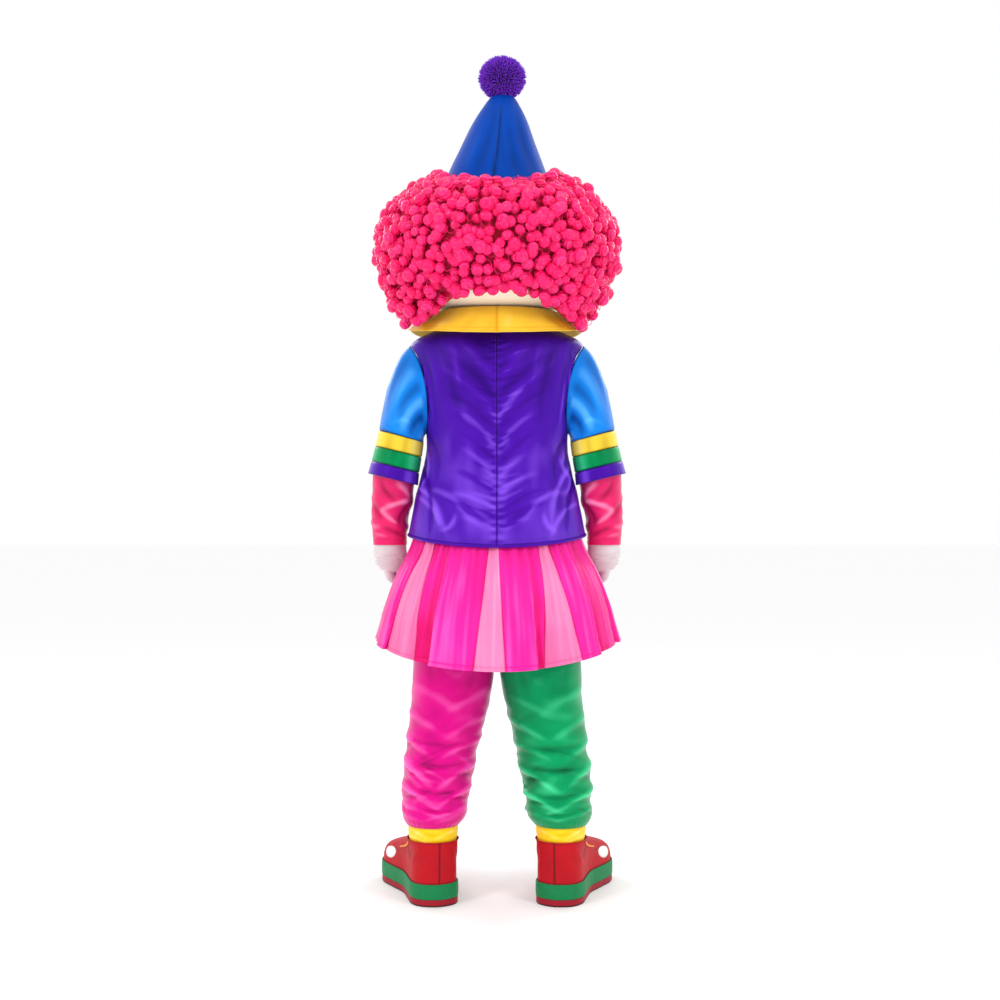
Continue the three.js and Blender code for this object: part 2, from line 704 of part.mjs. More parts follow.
const GLOVE = 1.8;
const palmRows = [
  { height: 896, centreX: 266, centreY: -41, halfWidth: 39, halfDepth: 39.5 },
  { height: 872, centreX: 266, centreY: -45, halfWidth: 39.5, halfDepth: 39.5 },
  { height: 846, centreX: 266, centreY: -58, halfWidth: 42, halfDepth: 39 },
  { height: 822, centreX: 266, centreY: -78, halfWidth: 37, halfDepth: 38 },
  { height: 808, centreX: 263, centreY: -87, halfWidth: 24, halfDepth: 30 },
  { height: 803, centreX: 262, centreY: -88, halfWidth: 0, halfDepth: 0 },
];
// Fingers: where each starts, bends and ends, and its radius. The last row is the thumb.
const fingers = [
  { start: [274, -62, 826], bend: [272, -80, 776], end: [248, -94, 790], radius: 12 },
  { start: [276, -84, 826], bend: [272, -102, 772], end: [246, -114, 788], radius: 12.5 },
  { start: [274, -104, 828], bend: [268, -124, 778], end: [246, -134, 792], radius: 12 },
  { start: [244, -70, 850], bend: [238, -96, 826], end: [240, -112, 812], radius: 11.5 },
];
const WRIST_MOUTH_RADIUS = 30;
const WRIST_MOUTH_DEPTH = 40;

function palmPoint(u, v, inset) {
  const turn = degrees(360 * u);
  const row = 1 - v;
  const halfWidth = Math.max(along(palmRows, 'halfWidth', row) - inset, 0);
  const halfDepth = Math.max(along(palmRows, 'halfDepth', row) - inset, 0);
  const x = along(palmRows, 'centreX', row) + halfWidth * Math.cos(turn);
  const y = along(palmRows, 'centreY', row) + halfDepth * Math.sin(turn);
  return new THREE.Vector3(x, y, along(palmRows, 'height', row) + inset * row);
}

// A finger is a rounded tube along a curve with one bend.
function finger(row, inset, around) {
  const [start, bend, end] = [row.start, row.bend, row.end].map((spot) => new THREE.Vector3(...spot));
  const route = new THREE.QuadraticBezierCurve3(start, bend, end);
  const radius = row.radius - inset;
  return toSolid(lump((u, v) => {
    const cap = Math.sqrt(Math.max(1 - (2 * v - 1) ** 4, 0));
    const place = route.getPoint(mix(0.02, 0.98, v));
    const ahead = route.getTangent(v);
    const side = new THREE.Vector3(0, 1, 0).cross(ahead).normalize();
    const other = ahead.cross(side);
    const turn = degrees(360 * u);
    place.addScaledVector(side, radius * cap * Math.cos(turn));
    return place.addScaledVector(other, radius * cap * Math.sin(turn));
  }, around, 4));
}

function palmSolid(inset, around) {
  const steps = palmRows.length;
  return toSolid(lump((u, v) => {
    const row = Math.min(v * steps, steps - 1) / (steps - 1);
    const point = palmPoint(u, row, inset);
    if (v === 1) {
      point.set(palmRows[0].centreX, palmRows[0].centreY, point.z);
    }
    return point;
  }, around, steps));
}

function gloveGeometry() {
  let outside = palmSolid(0, 12);
  let inside = palmSolid(GLOVE, 12);
  for (const row of fingers) {
    outside = outside.add(finger(row, 0, 6));
    inside = inside.add(finger(row, GLOVE, 5));
  }
  const mouth = new THREE.CylinderGeometry(WRIST_MOUTH_RADIUS, WRIST_MOUTH_RADIUS, WRIST_MOUTH_DEPTH, 12);
  mouth.rotateX(Math.PI / 2);
  mouth.translate(palmRows[0].centreX, palmRows[0].centreY, palmRows[0].height);
  return outside.subtract(inside.add(toSolid(mouth)));
}

function addGloves() {
  const glove = gloveGeometry();
  addPiece('glove_left', toGeometry(glove), 'whiteJersey');
  addPiece('glove_right', toGeometry(glove.mirror([1, 0, 0])), 'whiteJersey');
}

// Skirt: sixteen gores gathered into a waistband under the vest

const skirtRows = [
  { height: 643, halfWidth: 300, halfDepth: 262 },
  { height: 685, halfWidth: 288, halfDepth: 250 },
  { height: 724, halfWidth: 278, halfDepth: 238 },
  { height: 771, halfWidth: 261, halfDepth: 214 },
  { height: 818, halfWidth: 239, halfDepth: 186 },
  { height: 867, halfWidth: 213, halfDepth: 152 },
  { height: 915, halfWidth: 198, halfDepth: 139.5 },
];
// Degrees across one gather at the hem: each gore is gathered in whole ones, so its seams lie flat.
const GATHER_WIDTH = 9;
const GATHER_DEPTH = 3.5;
const SKIRT_CLOTH = 1.5;
// Half a seam gap in degrees.
const SKIRT_HALF_GAP = 0.0576;
const SKIRT_BACK_DROP = 52;
const SKIRT_FRONT_DROP = 30;
// The gores' edges, as azimuths at the hem and at the waist: the light gores, which come first and
// then every second time, are folded narrow at the waist.
const goreEdges = [
  { hem: 79.4, waist: 85.6 },
  { hem: 93.9, waist: 90.6 },
  { hem: 112, waist: 119.2 },
  { hem: 132, waist: 125.3 },
  { hem: 178, waist: 168 },
  { hem: 194, waist: 182 },
  { hem: 216, waist: 218 },
  { hem: 234, waist: 227 },
  { hem: 256, waist: 262 },
  { hem: 274, waist: 270 },
  { hem: 296, waist: 304 },
  { hem: 316, waist: 312 },
  { hem: 340, waist: 346 },
  { hem: 358, waist: 352 },
  { hem: 386.3, waist: 393.3 },
  { hem: 408.7, waist: 403.5 },
  { hem: 439.4, waist: 445.6 },
];
const WAISTBAND_TOP = 960;
const WAISTBAND_TAPER = 6;

// Flutes at the hem: azimuth from the centre back, positive to the left, depth inward and width.
const flutes = [
  { at: 12, depth: 7, width: 5 },
  { at: 36, depth: 15, width: 5 },
  { at: 63, depth: 8, width: 5 },
  { at: -20, depth: 9, width: 4.5 },
  { at: -41, depth: 5, width: 5 },
  { at: -59, depth: 11, width: 5 },
  { at: -80, depth: 8, width: 6 },
  { at: 96, depth: 12, width: 6 },
  { at: 118, depth: 9, width: 6 },
  { at: 142, depth: 14, width: 6 },
  { at: 168, depth: 9, width: 5 },
  { at: -98, depth: 12, width: 6 },
  { at: -124, depth: 10, width: 6 },
  { at: -150, depth: 13, width: 6 },
];

function skirtPoint(angle, v, gather) {
  const turn = degrees(angle);
  const fromBack = 90 - angle;
  const back = Math.max(Math.sin(turn), 0) ** 1.6;
  const front = Math.max(-Math.sin(turn), 0) ** 1.6;
  const below = Math.max(1 - v, 0);
  const drop = (SKIRT_BACK_DROP * back + SKIRT_FRONT_DROP * front) * below ** 1.5;
  let out = GATHER_DEPTH * gather * smooth(0, 0.8, v);
  for (const flute of flutes) {
    const apart = ((fromBack - flute.at + 900) % 360) - 180;
    out -= flute.depth * bell(apart, 0, flute.width) * below ** 1.2;
  }
  const x = (along(skirtRows, 'halfWidth', v) + out) * Math.cos(turn);
  const y = (along(skirtRows, 'halfDepth', v) + out) * Math.sin(turn);
  return new THREE.Vector3(x, y, along(skirtRows, 'height', v) - drop);
}

function addSkirt() {
  for (let i = 0; i < goreEdges.length - 1; i += 1) {
    const [start, end] = goreEdges.slice(i, i + 2);
    const gathers = Math.max(Math.round((end.hem - start.hem) / GATHER_WIDTH), 2);
    const gore = (u, v) => {
      const from = mix(start.hem, start.waist, v) + SKIRT_HALF_GAP;
      const to = mix(end.hem, end.waist, v) - SKIRT_HALF_GAP;
      const across = THREE.MathUtils.clamp(u, 0, 1);
      return skirtPoint(mix(from, to, across), v, Math.cos(2 * Math.PI * gathers * across));
    };
    const finish = i % 2 === 0 ? 'lightPinkSatin' : 'hotPinkSatin';
    const name = `skirt_gore_${String(i + 1).padStart(2, '0')}`;
    addPiece(name, panel(gore, 2 * gathers, 5, SKIRT_CLOTH), finish);
  }
  const waist = skirtRows[skirtRows.length - 1];
  const band = (u, v) => {
    const turn = degrees(360 * u);
    const height = mix(waist.height + 2 * SEAM_GAP, WAISTBAND_TOP, v);
    const x = (waist.halfWidth - WAISTBAND_TAPER * v) * Math.cos(turn);
    return new THREE.Vector3(x, (waist.halfDepth - WAISTBAND_TAPER * v) * Math.sin(turn), height);
  };
  addPiece('skirt_waistband', tube(band, 24, 1, CLOTH), 'hotPinkSatin');
}

// Trousers: each leg has a back and a front panel, gathered at the ankle and joined at the waist

const legRows = [
  { height: 190, centreX: 157, centreY: 2, halfWidth: 64, halfDepth: 66, hip: 0 },
  { height: 206, centreX: 155, centreY: 2, halfWidth: 76, halfDepth: 78, hip: 0 },
  { height: 226, centreX: 152, centreY: 2, halfWidth: 82, halfDepth: 84, hip: 0 },
  { height: 250, centreX: 150, centreY: 2, halfWidth: 79, halfDepth: 84, hip: 0 },
  { height: 276, centreX: 150, centreY: 2, halfWidth: 85, halfDepth: 88, hip: 0 },
  { height: 302, centreX: 147, centreY: 2, halfWidth: 83, halfDepth: 87, hip: 0 },
  { height: 330, centreX: 142, centreY: 2, halfWidth: 88, halfDepth: 92, hip: 0 },
  { height: 362, centreX: 137, centreY: 2, halfWidth: 86, halfDepth: 92, hip: 0 },
  { height: 400, centreX: 131, centreY: 2, halfWidth: 90, halfDepth: 96, hip: 0 },
  { height: 450, centreX: 122, centreY: 2, halfWidth: 92, halfDepth: 100, hip: 0 },
  { height: 510, centreX: 112, centreY: 2, halfWidth: 97, halfDepth: 104, hip: 0 },
  { height: 580, centreX: 106, centreY: 2, halfWidth: 100, halfDepth: 108, hip: 0 },
  { height: 650, centreX: 104, centreY: 2, halfWidth: 101, halfDepth: 112, hip: 0.15 },
  { height: 730, centreX: 102, centreY: 2, halfWidth: 101, halfDepth: 118, hip: 0.7 },
  { height: 820, centreX: 100, centreY: 1, halfWidth: 100, halfDepth: 124, hip: 1 },
  { height: 958, centreX: 95, centreY: 0, halfWidth: 95, halfDepth: 130.9, hip: 1 },
];
const WRINKLE = 4;
// Half a seam gap as a share of a leg's turn.
const LEG_HALF_GAP = 0.0003;
const HIP_HALF_WIDTH = 189.4;

function legPoint(u, v) {
  const angle = 360 * u;
  const turn = degrees(angle);
  const height = along(legRows, 'height', v);
  const hip = Math.min(Math.max(along(legRows, 'hip', v), 0), 1);
  const slouch = smooth(700, 420, height) * smooth(195, 225, height);
  const wrinkle = WRINKLE * slouch * Math.sin(height / 8.5 + 2.2 * Math.sin(turn + 0.6));
  const halfWidth = along(legRows, 'halfWidth', v) + wrinkle;
  const halfDepth = along(legRows, 'halfDepth', v) + wrinkle;
  const legX = along(legRows, 'centreX', v) + halfWidth * Math.cos(turn);
  const legY = along(legRows, 'centreY', v) + halfDepth * Math.sin(turn);
  const hipTurn = turn <= Math.PI ? turn / 2 : (turn + 2 * Math.PI) / 2;
  const hipX = HIP_HALF_WIDTH * Math.cos(hipTurn);
  const hipY = halfDepth * Math.sin(hipTurn);
  return new THREE.Vector3(Math.max(mix(legX, hipX, hip), SEAM_GAP), mix(legY, hipY, hip), height);
}

function addTrousers() {
  for (const side of sides) {
    const finish = side.name === 'left' ? 'magentaSatin' : 'greenSatin';
    const back = side.turn(cut(legPoint, 0, 0.5, LEG_HALF_GAP));
    const front = side.turn(cut(legPoint, 0.5, 1, LEG_HALF_GAP));
    addPiece(`trouser_back_${side.name}`, panel(back, 6, 15, CLOTH), finish);
    addPiece(`trouser_front_${side.name}`, panel(front, 6, 15, CLOTH), finish);
  }
}

// Ankle cuffs: a yellow band from inside the trouser leg down into the shoe

const ankleRows = [
  { height: 140, halfWidth: 52, halfDepth: 54 },
  { height: 154, halfWidth: 58.2, halfDepth: 60.2 },
  { height: 176, halfWidth: 62, halfDepth: 64 },
  { height: 200, halfWidth: 59, halfDepth: 61 },
];
const ANKLE_X = 157;
const ANKLE_Y = 2;

function addAnkleCuffs() {
  const cuff = (u, v) => {
    const turn = degrees(360 * u);
    const x = ANKLE_X + along(ankleRows, 'halfWidth', v) * Math.cos(turn);
    const y = ANKLE_Y + along(ankleRows, 'halfDepth', v) * Math.sin(turn);
    return new THREE.Vector3(x, y, along(ankleRows, 'height', v));
  };
  for (const side of sides) {
    addPiece(`ankle_cuff_${side.name}`, tube(side.turn(cuff), 14, 3, CLOTH, 1), 'yellowSatin');
  }
}

// Shoes: a red upper, a green foxing band and a red sole, toed outwards

const SHOE_TOE_OUT = 17;
const SOLE_TOP = 17;
const BAND_TOP = 54;
const SHOE_COLLAR = 156;
const HEEL_BACK = 66;
const UPPER_STEPS = 6;
const BAND_SHARE = 1 / UPPER_STEPS;
const SOLE_MIDDLE = 170;
// Half-widths of the sole along its length from the heel.
const soleRows = [
  { length: 0, halfWidth: 0 },
  { length: 6, halfWidth: 26 },
  { length: 22, halfWidth: 48 },
  { length: 55, halfWidth: 60 },
  { length: 105, halfWidth: 57 },
  { length: 165, halfWidth: 54 },
  { length: 225, halfWidth: 66 },
  { length: 285, halfWidth: 76 },
  { length: 335, halfWidth: 66 },
  { length: 362, halfWidth: 38 },
  { length: 370, halfWidth: 0 },
];
const SHOE_AROUND = (soleRows.length - 1) * 2;

// The outline's point at turn u, from the toe's tip anticlockwise from above, moved in by an inset.
function soleOutline(u, inset) {
  const steps = soleRows.length - 1;
  const onRight = u > 0.5;
  const place = 1 - (onRight ? (1 - u) * 2 : u * 2);
  const row = (p) => new THREE.Vector2(
    (onRight ? -1 : 1) * along(soleRows, 'halfWidth', p),
    -along(soleRows, 'length', p),
  );
  const here = row(place);
  const step = 0.4 / steps;
  const ahead = row(Math.min(place + step, 1)).sub(row(Math.max(place - step, 0)));
  if (place === 0 || place === 1) {
    ahead.set(onRight ? -1 : 1, 0);
    return here.add(new THREE.Vector2(0, place === 0 ? -inset : inset));
  }
  const inward = onRight ? new THREE.Vector2(-ahead.y, ahead.x) : new THREE.Vector2(ahead.y, -ahead.x);
  inward.normalize();
  if (inward.x * here.x > 0) {
    inward.negate();
  }
  return here.addScaledVector(inward, inset);
}

// Places a point of the shoe, given from its heel, at the left ankle.
function atShoe(point) {
  point.y += HEEL_BACK;
  point.applyAxisAngle(new THREE.Vector3(0, 0, 1), degrees(SHOE_TOE_OUT));
  point.x += ANKLE_X;
  point.y += ANKLE_Y;
  return point;
}

function shoeRing(u, inset, height) {
  const spot = soleOutline(u, inset);
  return atShoe(new THREE.Vector3(spot.x, spot.y, height));
}

// The upper rises from inside the foxing band over the toe to the collar round the ankle.
function upperPoint(u, v) {
  const foot = soleOutline(u, RUBBER + 2 * SEAM_GAP);
  const turn = degrees(360 * u - 90);
  const rim = new THREE.Vector3(63 * Math.cos(turn), -HEEL_BACK + 65 * Math.sin(turn), SHOE_COLLAR);
  rim.z += 6 * Math.max(-Math.sin(turn), 0);
  const low = new THREE.Vector3(foot.x, foot.y, SOLE_TOP + SEAM_GAP);
  if (v < BAND_SHARE) {
    low.z = mix(low.z, BAND_TOP, v / BAND_SHARE);
    return atShoe(low);
  }
  const t = (v - BAND_SHARE) / (1 - BAND_SHARE);
  low.z = BAND_TOP;
  const above = low.clone();
  const toe = smooth(120, 230, -foot.y);
  above.z += mix(56, 62, toe);
  const ridge = low.clone().lerp(rim, 0.62);
  ridge.z = mix(SHOE_COLLAR - 22, 118, toe);
  const curve = new THREE.CubicBezierCurve3(low, above, ridge, rim);
  return atShoe(curve.getPoint(t));
}

function addShoes() {
  const slab = lump((u, v) => {
    const height = v < 0.5 ? 0 : SOLE_TOP;
    if (v === 0 || v === 1) {
      return atShoe(new THREE.Vector3(0, -SOLE_MIDDLE, height));
    }
    return shoeRing(u, 1, height);
  }, SHOE_AROUND, 3);
  const sole = toSolid(slab);
  const band = toSolid(turned(SHOE_AROUND, 1, 1, false, (u, v, inner) => (
    shoeRing(u, inner ? RUBBER : 0, mix(SOLE_TOP + SEAM_GAP, BAND_TOP, v))
  )));
  for (const side of sides) {
    const upper = side.turn(upperPoint);
    addPiece(`shoe_upper_${side.name}`, tube(upper, SHOE_AROUND, UPPER_STEPS, CLOTH), 'redLeather');
    const handed = (solid) => toGeometry(side.sign > 0 ? solid : solid.mirror([1, 0, 0]));
    addPiece(`shoe_band_${side.name}`, handed(band), 'greenRubber');
    addPiece(`shoe_sole_${side.name}`, handed(sole), 'redRubber');
  }
}

addPompom();
addHat();
addWig();
addHead();
addCollar();
addVest();
addSleeves();
addUndersleeves();
addGloves();
addSkirt();
addTrousers();
addAnkleCuffs();
addShoes();

export default costume;
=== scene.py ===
import math
import random

import bmesh
import bpy
from mathutils import Matrix, Vector, noise


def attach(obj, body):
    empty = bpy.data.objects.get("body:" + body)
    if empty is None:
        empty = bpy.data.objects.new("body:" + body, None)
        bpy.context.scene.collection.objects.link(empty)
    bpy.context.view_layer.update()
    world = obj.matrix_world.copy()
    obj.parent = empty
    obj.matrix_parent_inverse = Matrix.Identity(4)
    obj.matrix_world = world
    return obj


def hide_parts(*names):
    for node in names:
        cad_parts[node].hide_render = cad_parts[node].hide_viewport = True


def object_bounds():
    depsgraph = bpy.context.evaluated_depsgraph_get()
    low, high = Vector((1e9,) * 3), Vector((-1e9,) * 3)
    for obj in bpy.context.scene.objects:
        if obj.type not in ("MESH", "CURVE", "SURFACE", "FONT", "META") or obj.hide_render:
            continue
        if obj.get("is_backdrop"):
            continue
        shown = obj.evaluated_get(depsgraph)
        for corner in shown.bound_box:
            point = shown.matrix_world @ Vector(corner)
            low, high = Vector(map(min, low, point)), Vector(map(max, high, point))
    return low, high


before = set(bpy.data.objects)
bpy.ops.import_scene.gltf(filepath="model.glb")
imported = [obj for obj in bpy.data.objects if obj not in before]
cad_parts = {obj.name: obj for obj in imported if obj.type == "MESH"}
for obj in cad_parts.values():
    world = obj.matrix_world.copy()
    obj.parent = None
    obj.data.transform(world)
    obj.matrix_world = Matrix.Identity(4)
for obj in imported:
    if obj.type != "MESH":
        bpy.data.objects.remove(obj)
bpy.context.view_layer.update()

# Camera, light and floor: a level camera behind the costume, 3.8 m from the body's axis and about a
# metre above the floor. Two large soft lamps stand behind the camera and two weaker ones in front of
# the costume, over a plain white floor.

scene = bpy.context.scene
scene.view_settings.view_transform = "Standard"

camera = bpy.data.objects.new("camera", bpy.data.cameras.new("camera"))
scene.collection.objects.link(camera)
camera.location = (-0.0074, 3.8, -0.415)
camera.rotation_euler = (math.radians(90), 0, math.radians(180))
camera.data.lens = 55.62
camera.data.sensor_width = 36
scene.camera = camera

for name, place, width, power in (
    ("lamp_back_left", (2.6, 2.9, 1.3), 1.0, 46),
    ("lamp_back_right", (-2.6, 2.9, 1.3), 1.0, 38),
    ("lamp_front_left", (2.4, -3.0, 1.4), 1.6, 32),
    ("lamp_front_right", (-2.4, -3.0, 1.4), 1.6, 32),
    ("lamp_above", (0.0, 0.6, 3.2), 1.6, 18),
):
    lamp = bpy.data.objects.new(name, bpy.data.lights.new(name, "AREA"))
    lamp.data.size = width
    lamp.data.energy = power
    lamp.location = place
    lamp.rotation_euler = (Vector((0, 0, -0.4)) - Vector(place)).to_track_quat("-Z", "Y").to_euler()
    scene.collection.objects.link(lamp)

scene.world = bpy.data.worlds.new("studio")
scene.world.use_nodes = True
studio = scene.world.node_tree.nodes["Background"]
studio.inputs["Color"].default_value = (1, 1, 1, 1)
studio.inputs["Strength"].default_value = 1.0


def linear(hex_colour):
    """An sRGB hex value as a linear colour."""
    channels = [int(hex_colour[i:i + 2], 16) / 255 for i in (1, 3, 5)]
    return tuple(c / 12.92 if c <= 0.04045 else ((c + 0.055) / 1.055) ** 2.4 for c in channels) + (1,)


def add_node(tree, kind, inputs=None, **settings):
    """One node with its settings; an input given as a socket or a node is linked, a node by the
    first output that it has in use."""
    node = tree.nodes.new("ShaderNode" + kind)
    for key, value in settings.items():
        setattr(node, key, value)
    for key, value in (inputs or {}).items():
        socket = next(one for one in node.inputs if one.enabled and one.name == key)
        if isinstance(value, bpy.types.Node):
            value = next(one for one in value.outputs if one.enabled)
        if isinstance(value, bpy.types.NodeSocket):
            tree.links.new(value, socket)
        else:
            socket.default_value = value
    return node


def new_material(name):
    material = bpy.data.materials.new(name)
    material.use_nodes = True
    material.node_tree.nodes.clear()
    return material, material.node_tree


def colour_of(value):
    return linear(value) if isinstance(value, str) else value


def put_out(tree, colour, roughness, bump=None, more=None):
    """Ends a material: a hex value or node for its colour, and a bump of height, strength, metres."""
    inputs = {"Base Color": colour_of(colour), "Roughness": roughness, **(more or {})}
    if bump:
        height, strength, distance = bump
        inputs["Normal"] = add_node(tree, "Bump", {
            "Height": height, "Strength": strength, "Distance": distance}).outputs["Normal"]
    shader = add_node(tree, "BsdfPrincipled", inputs)
    add_node(tree, "OutputMaterial", {"Surface": shader.outputs[0]})


FLOOR_HEIGHT = -1.4  # of the soles in the frame, in metres
painted_floor, tree = new_material("painted_white_floor")
put_out(tree, "#fbfbfb", 0.75)
shape = bmesh.new()
bmesh.ops.create_grid(shape, x_segments=1, y_segments=1, size=30)
bmesh.ops.translate(shape, verts=shape.verts, vec=(0, 0, FLOOR_HEIGHT))
floor_mesh = bpy.data.meshes.new("floor")
shape.to_mesh(floor_mesh)
shape.free()
floor = bpy.data.objects.new("floor", floor_mesh)
floor_mesh.materials.append(painted_floor)
scene.collection.objects.link(floor)
floor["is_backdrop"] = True

# Hat: a cone of matt blue satin over stiff buckram, cut as one sector and sewn up the centre back.
# The seam is pressed open, so it shows as a fine groove with soft dents beside it, and the groove is painted darker
# as shade.

MM = 0.001
SHOULDER = 1400  # mm from the soles up to the frame's origin


def ease(start, end, value):
    """A smooth step from 0 at start to 1 at end, whichever is the larger."""
    share = min(max((value - start) / (end - start), 0), 1)
    return share * share * (3 - 2 * share)


def bell(value, centre, width):
    return math.exp(-((value - centre) / width) ** 2)


def mix(a, b, share):
    return a + (b - a) * share


def read(rows, place):
    """A table's row at a place from 0 to 1 along it, on a smooth curve through the rows."""
    spot = place * (len(rows) - 1)
    i = min(max(int(spot), 0), len(rows) - 2)
    f = spot - i
    before, start, end, after = (rows[max(i - 1, 0)], rows[i], rows[i + 1], rows[min(i + 2, len(rows) - 1)])
    return [s + 0.5 * f * (e - b + f * (2 * b - 5 * s + 4 * e - a + f * (3 * (s - e) + a - b)))
            for b, s, e, a in zip(before, start, end, after)]


def place_of(rows, value):
    """The place along a table at which its first column, which rises, reaches a value."""
    low, high = 0.0, 1.0
    for _ in range(22):
        middle = (low + high) / 2
        if read(rows, middle)[0] < value:
            low = middle
        else:
            high = middle
    return low


def round_from_back(angle):
    """An angle in degrees from +X as degrees from the centre back, positive to the wearer's left."""
    return (90 - angle + 180) % 360 - 180


def crease_depth(creases, across, height):
    """The height in mm of the creases at a place on the cloth: each is a line from one point
    to another, with its size (a trough is negative), its width and how far it bows."""
    total = 0.0
    for x0, z0, x1, z1, size, width, bow in creases:
        dx, dz = x1 - x0, z1 - z0
        length = math.hypot(dx, dz)
        t = ((across - x0) * dx + (height - z0) * dz) / length ** 2
        if not -0.3 < t < 1.3:
            continue
        off = ((across - x0) * dz - (height - z0) * dx) / length - bow * 4 * t * (1 - t)
        if abs(off) < 3 * width:
            total += size * bell(off, 0, width) * ease(-0.3, 0.2, t) * ease(1.3, 0.6, t)
    return total


def ripple(across, height, wide, tall, seed):
    """Soft unevenness of cloth, from -1 to 1, over that many mm each way."""
    return noise.noise(Vector((across / wide, height / tall, seed)))


def in_frame(spot):
    """A point in mm above the soles as metres in the frame."""
    return Vector((spot[0], spot[1], spot[2] - SHOULDER)) * MM


def smooth(shape):
    for face in shape.faces:
        face.smooth = True


def bend_cloth(surface, across, up, cut, closed=False):
    """A flat grid, cut metres wide and long, bent onto surface(u, v), which gives a point in mm
    above the soles and how far it is in a trough (negative) or on a crest; that value is kept as
    the fold attribute, from which the cloth's colour is painted darker as shade or lighter as highlight."""
    shape = bmesh.new()
    layout = shape.loops.layers.uv.new("cut")
    fold = shape.verts.layers.float.new("fold")
    bmesh.ops.create_grid(shape, x_segments=across, y_segments=up, size=0.5)
    smooth(shape)
    for face in shape.faces:
        for corner in face.loops:
            at = corner.vert.co
            corner[layout].uv = ((at.x + 0.5) * cut[0], (at.y + 0.5) * cut[1])
    for vert in shape.verts:
        spot, depth = surface(min(max(vert.co.x + 0.5, 0), 1), min(max(vert.co.y + 0.5, 0), 1))
        vert.co = in_frame(spot)
        vert[fold] = min(max(depth, -1), 1)
    if closed:
        bmesh.ops.remove_doubles(shape, verts=shape.verts, dist=2e-6)
    return shape


def add_piece(name, shape, material, slot, *nodes, wall=0):
    """Makes the shape a piece of the costume in place of the named solids; wall is the cloth's
    thickness in mm, inwards from the surface."""
    mesh = bpy.data.meshes.new(name)
    shape.to_mesh(mesh)
    shape.free()
    mesh.materials.append(material)
    piece = bpy.data.objects.new(name, mesh)
    scene.collection.objects.link(piece)
    if wall:
        solid = piece.modifiers.new("wall", "SOLIDIFY")
        solid.thickness = wall * MM
        solid.offset = -1
    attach(piece, "root")
    if nodes:
        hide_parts(*nodes)
    return piece


WAVE_BANDS = 0.314  # a wave texture's scale for bands a metre apart


def object_place(tree):
    return add_node(tree, "TexCoord").outputs["Object"]


def noise_at(tree, scale, detail):
    return add_node(tree, "TexNoise", {
        "Vector": object_place(tree), "Scale": scale, "Detail": detail}).outputs["Fac"]


def blend(tree, factor, start, end):
    """A mix of two colours, each a hex value or a node."""
    return add_node(tree, "Mix", {
        "Factor": factor, "A": colour_of(start), "B": colour_of(end)}, data_type="RGBA")


def woven_satin(name, body, trough, crest, roughness=0.3, thread=1.1, sheen=0.08):
    """Satin has long warp floats, so its folds run from a bright tint of its own colour to deep
    shade; that light and shade is painted into the colour, the trough colour as shade in the folds'
    troughs and the crest colour as highlight on their crests. The floats are under 0.3 mm wide and
    are drawn at thread mm to show."""
    material, tree = new_material(name)
    cut = add_node(tree, "UVMap", uv_map="cut").outputs["UV"]
    floats = add_node(tree, "TexWave", {
        "Vector": cut, "Scale": WAVE_BANDS / (thread * MM), "Distortion": 1.2, "Detail": 1, "Detail Scale": 1.5,
    }, bands_direction="X")
    picks = add_node(tree, "TexWave", {
        "Vector": cut, "Scale": WAVE_BANDS / (2.3 * thread * MM), "Distortion": 1.6, "Detail": 1,
    }, bands_direction="Y")
    weave = add_node(tree, "Mix", {
        "Factor": 0.35, "A": floats.outputs["Fac"], "B": picks.outputs["Fac"]})
    # Painted shade and highlight: the colour goes towards the trough colour where the fold value is negative and
    # towards the crest colour where it is positive.
    fold = add_node(tree, "Attribute", attribute_name="fold").outputs["Fac"]
    shade = add_node(tree, "MapRange", {"Value": fold, "From Min": 0, "From Max": -1})
    gleam = add_node(tree, "MapRange", {"Value": fold, "From Min": 0.1, "From Max": 1})
    clouded = add_node(tree, "MapRange", {
        "Value": noise_at(tree, 11, 3), "From Min": 0.3, "From Max": 0.7, "To Min": 0.0, "To Max": 0.22})
    lit = blend(tree, gleam, blend(tree, shade, body, trough), crest)
    gloss = add_node(tree, "MapRange", {
        "Value": weave, "To Min": roughness - 0.03, "To Max": roughness + 0.06})
    put_out(tree, blend(tree, clouded, lit, trough), gloss, (weave, 0.22, 0.0002), {
        "Sheen Weight": sheen, "Sheen Roughness": 0.35, "Sheen Tint": linear(crest),
        "Specular Tint": linear(crest), "IOR": 1.5})
    return material


def polyester_thread(name, colour, roughness=0.45):
    material, tree = new_material(name)
    put_out(tree, colour, roughness, more={"Sheen Weight": 0.3})
    return material


def add_bead(shape, spot, along, radius, half_length, detail):
    """One rounded length of thread or cord, all in mm, lying along a direction."""
    matrix = (Matrix.Translation(in_frame(spot)) @ along.to_track_quat("Z", "Y").to_matrix().to_4x4()
              @ Matrix.Diagonal((1, 1, half_length / radius, 1)))
    bmesh.ops.create_icosphere(shape, subdivisions=detail, radius=radius * MM, matrix=matrix)


def stitch_line(name, points, material, slot, pitch=3.6, gap=1.2, thread=0.45):
    """A row of machine stitches along points in mm: one short thread with round ends for each
    stitch, sunk by half its thickness. The thread is drawn a little thick so that it shows."""
    route = [Vector(spot) for spot in points]
    along = [0.0]
    for a, b in zip(route, route[1:]):
        along.append(along[-1] + (b - a).length)
    shape = bmesh.new()
    count = int(along[-1] / pitch)
    i = 0
    for k in range(count):
        middle = (k + 0.5) * along[-1] / count
        while i < len(along) - 2 and along[i + 1] < middle:
            i += 1
        share = (middle - along[i]) / max(along[i + 1] - along[i], 1e-6)
        add_bead(shape, route[i].lerp(route[i + 1], share), route[i + 1] - route[i], thread, (pitch - gap) / 2, 1)
    smooth(shape)
    return add_piece(name, shape, material, slot)


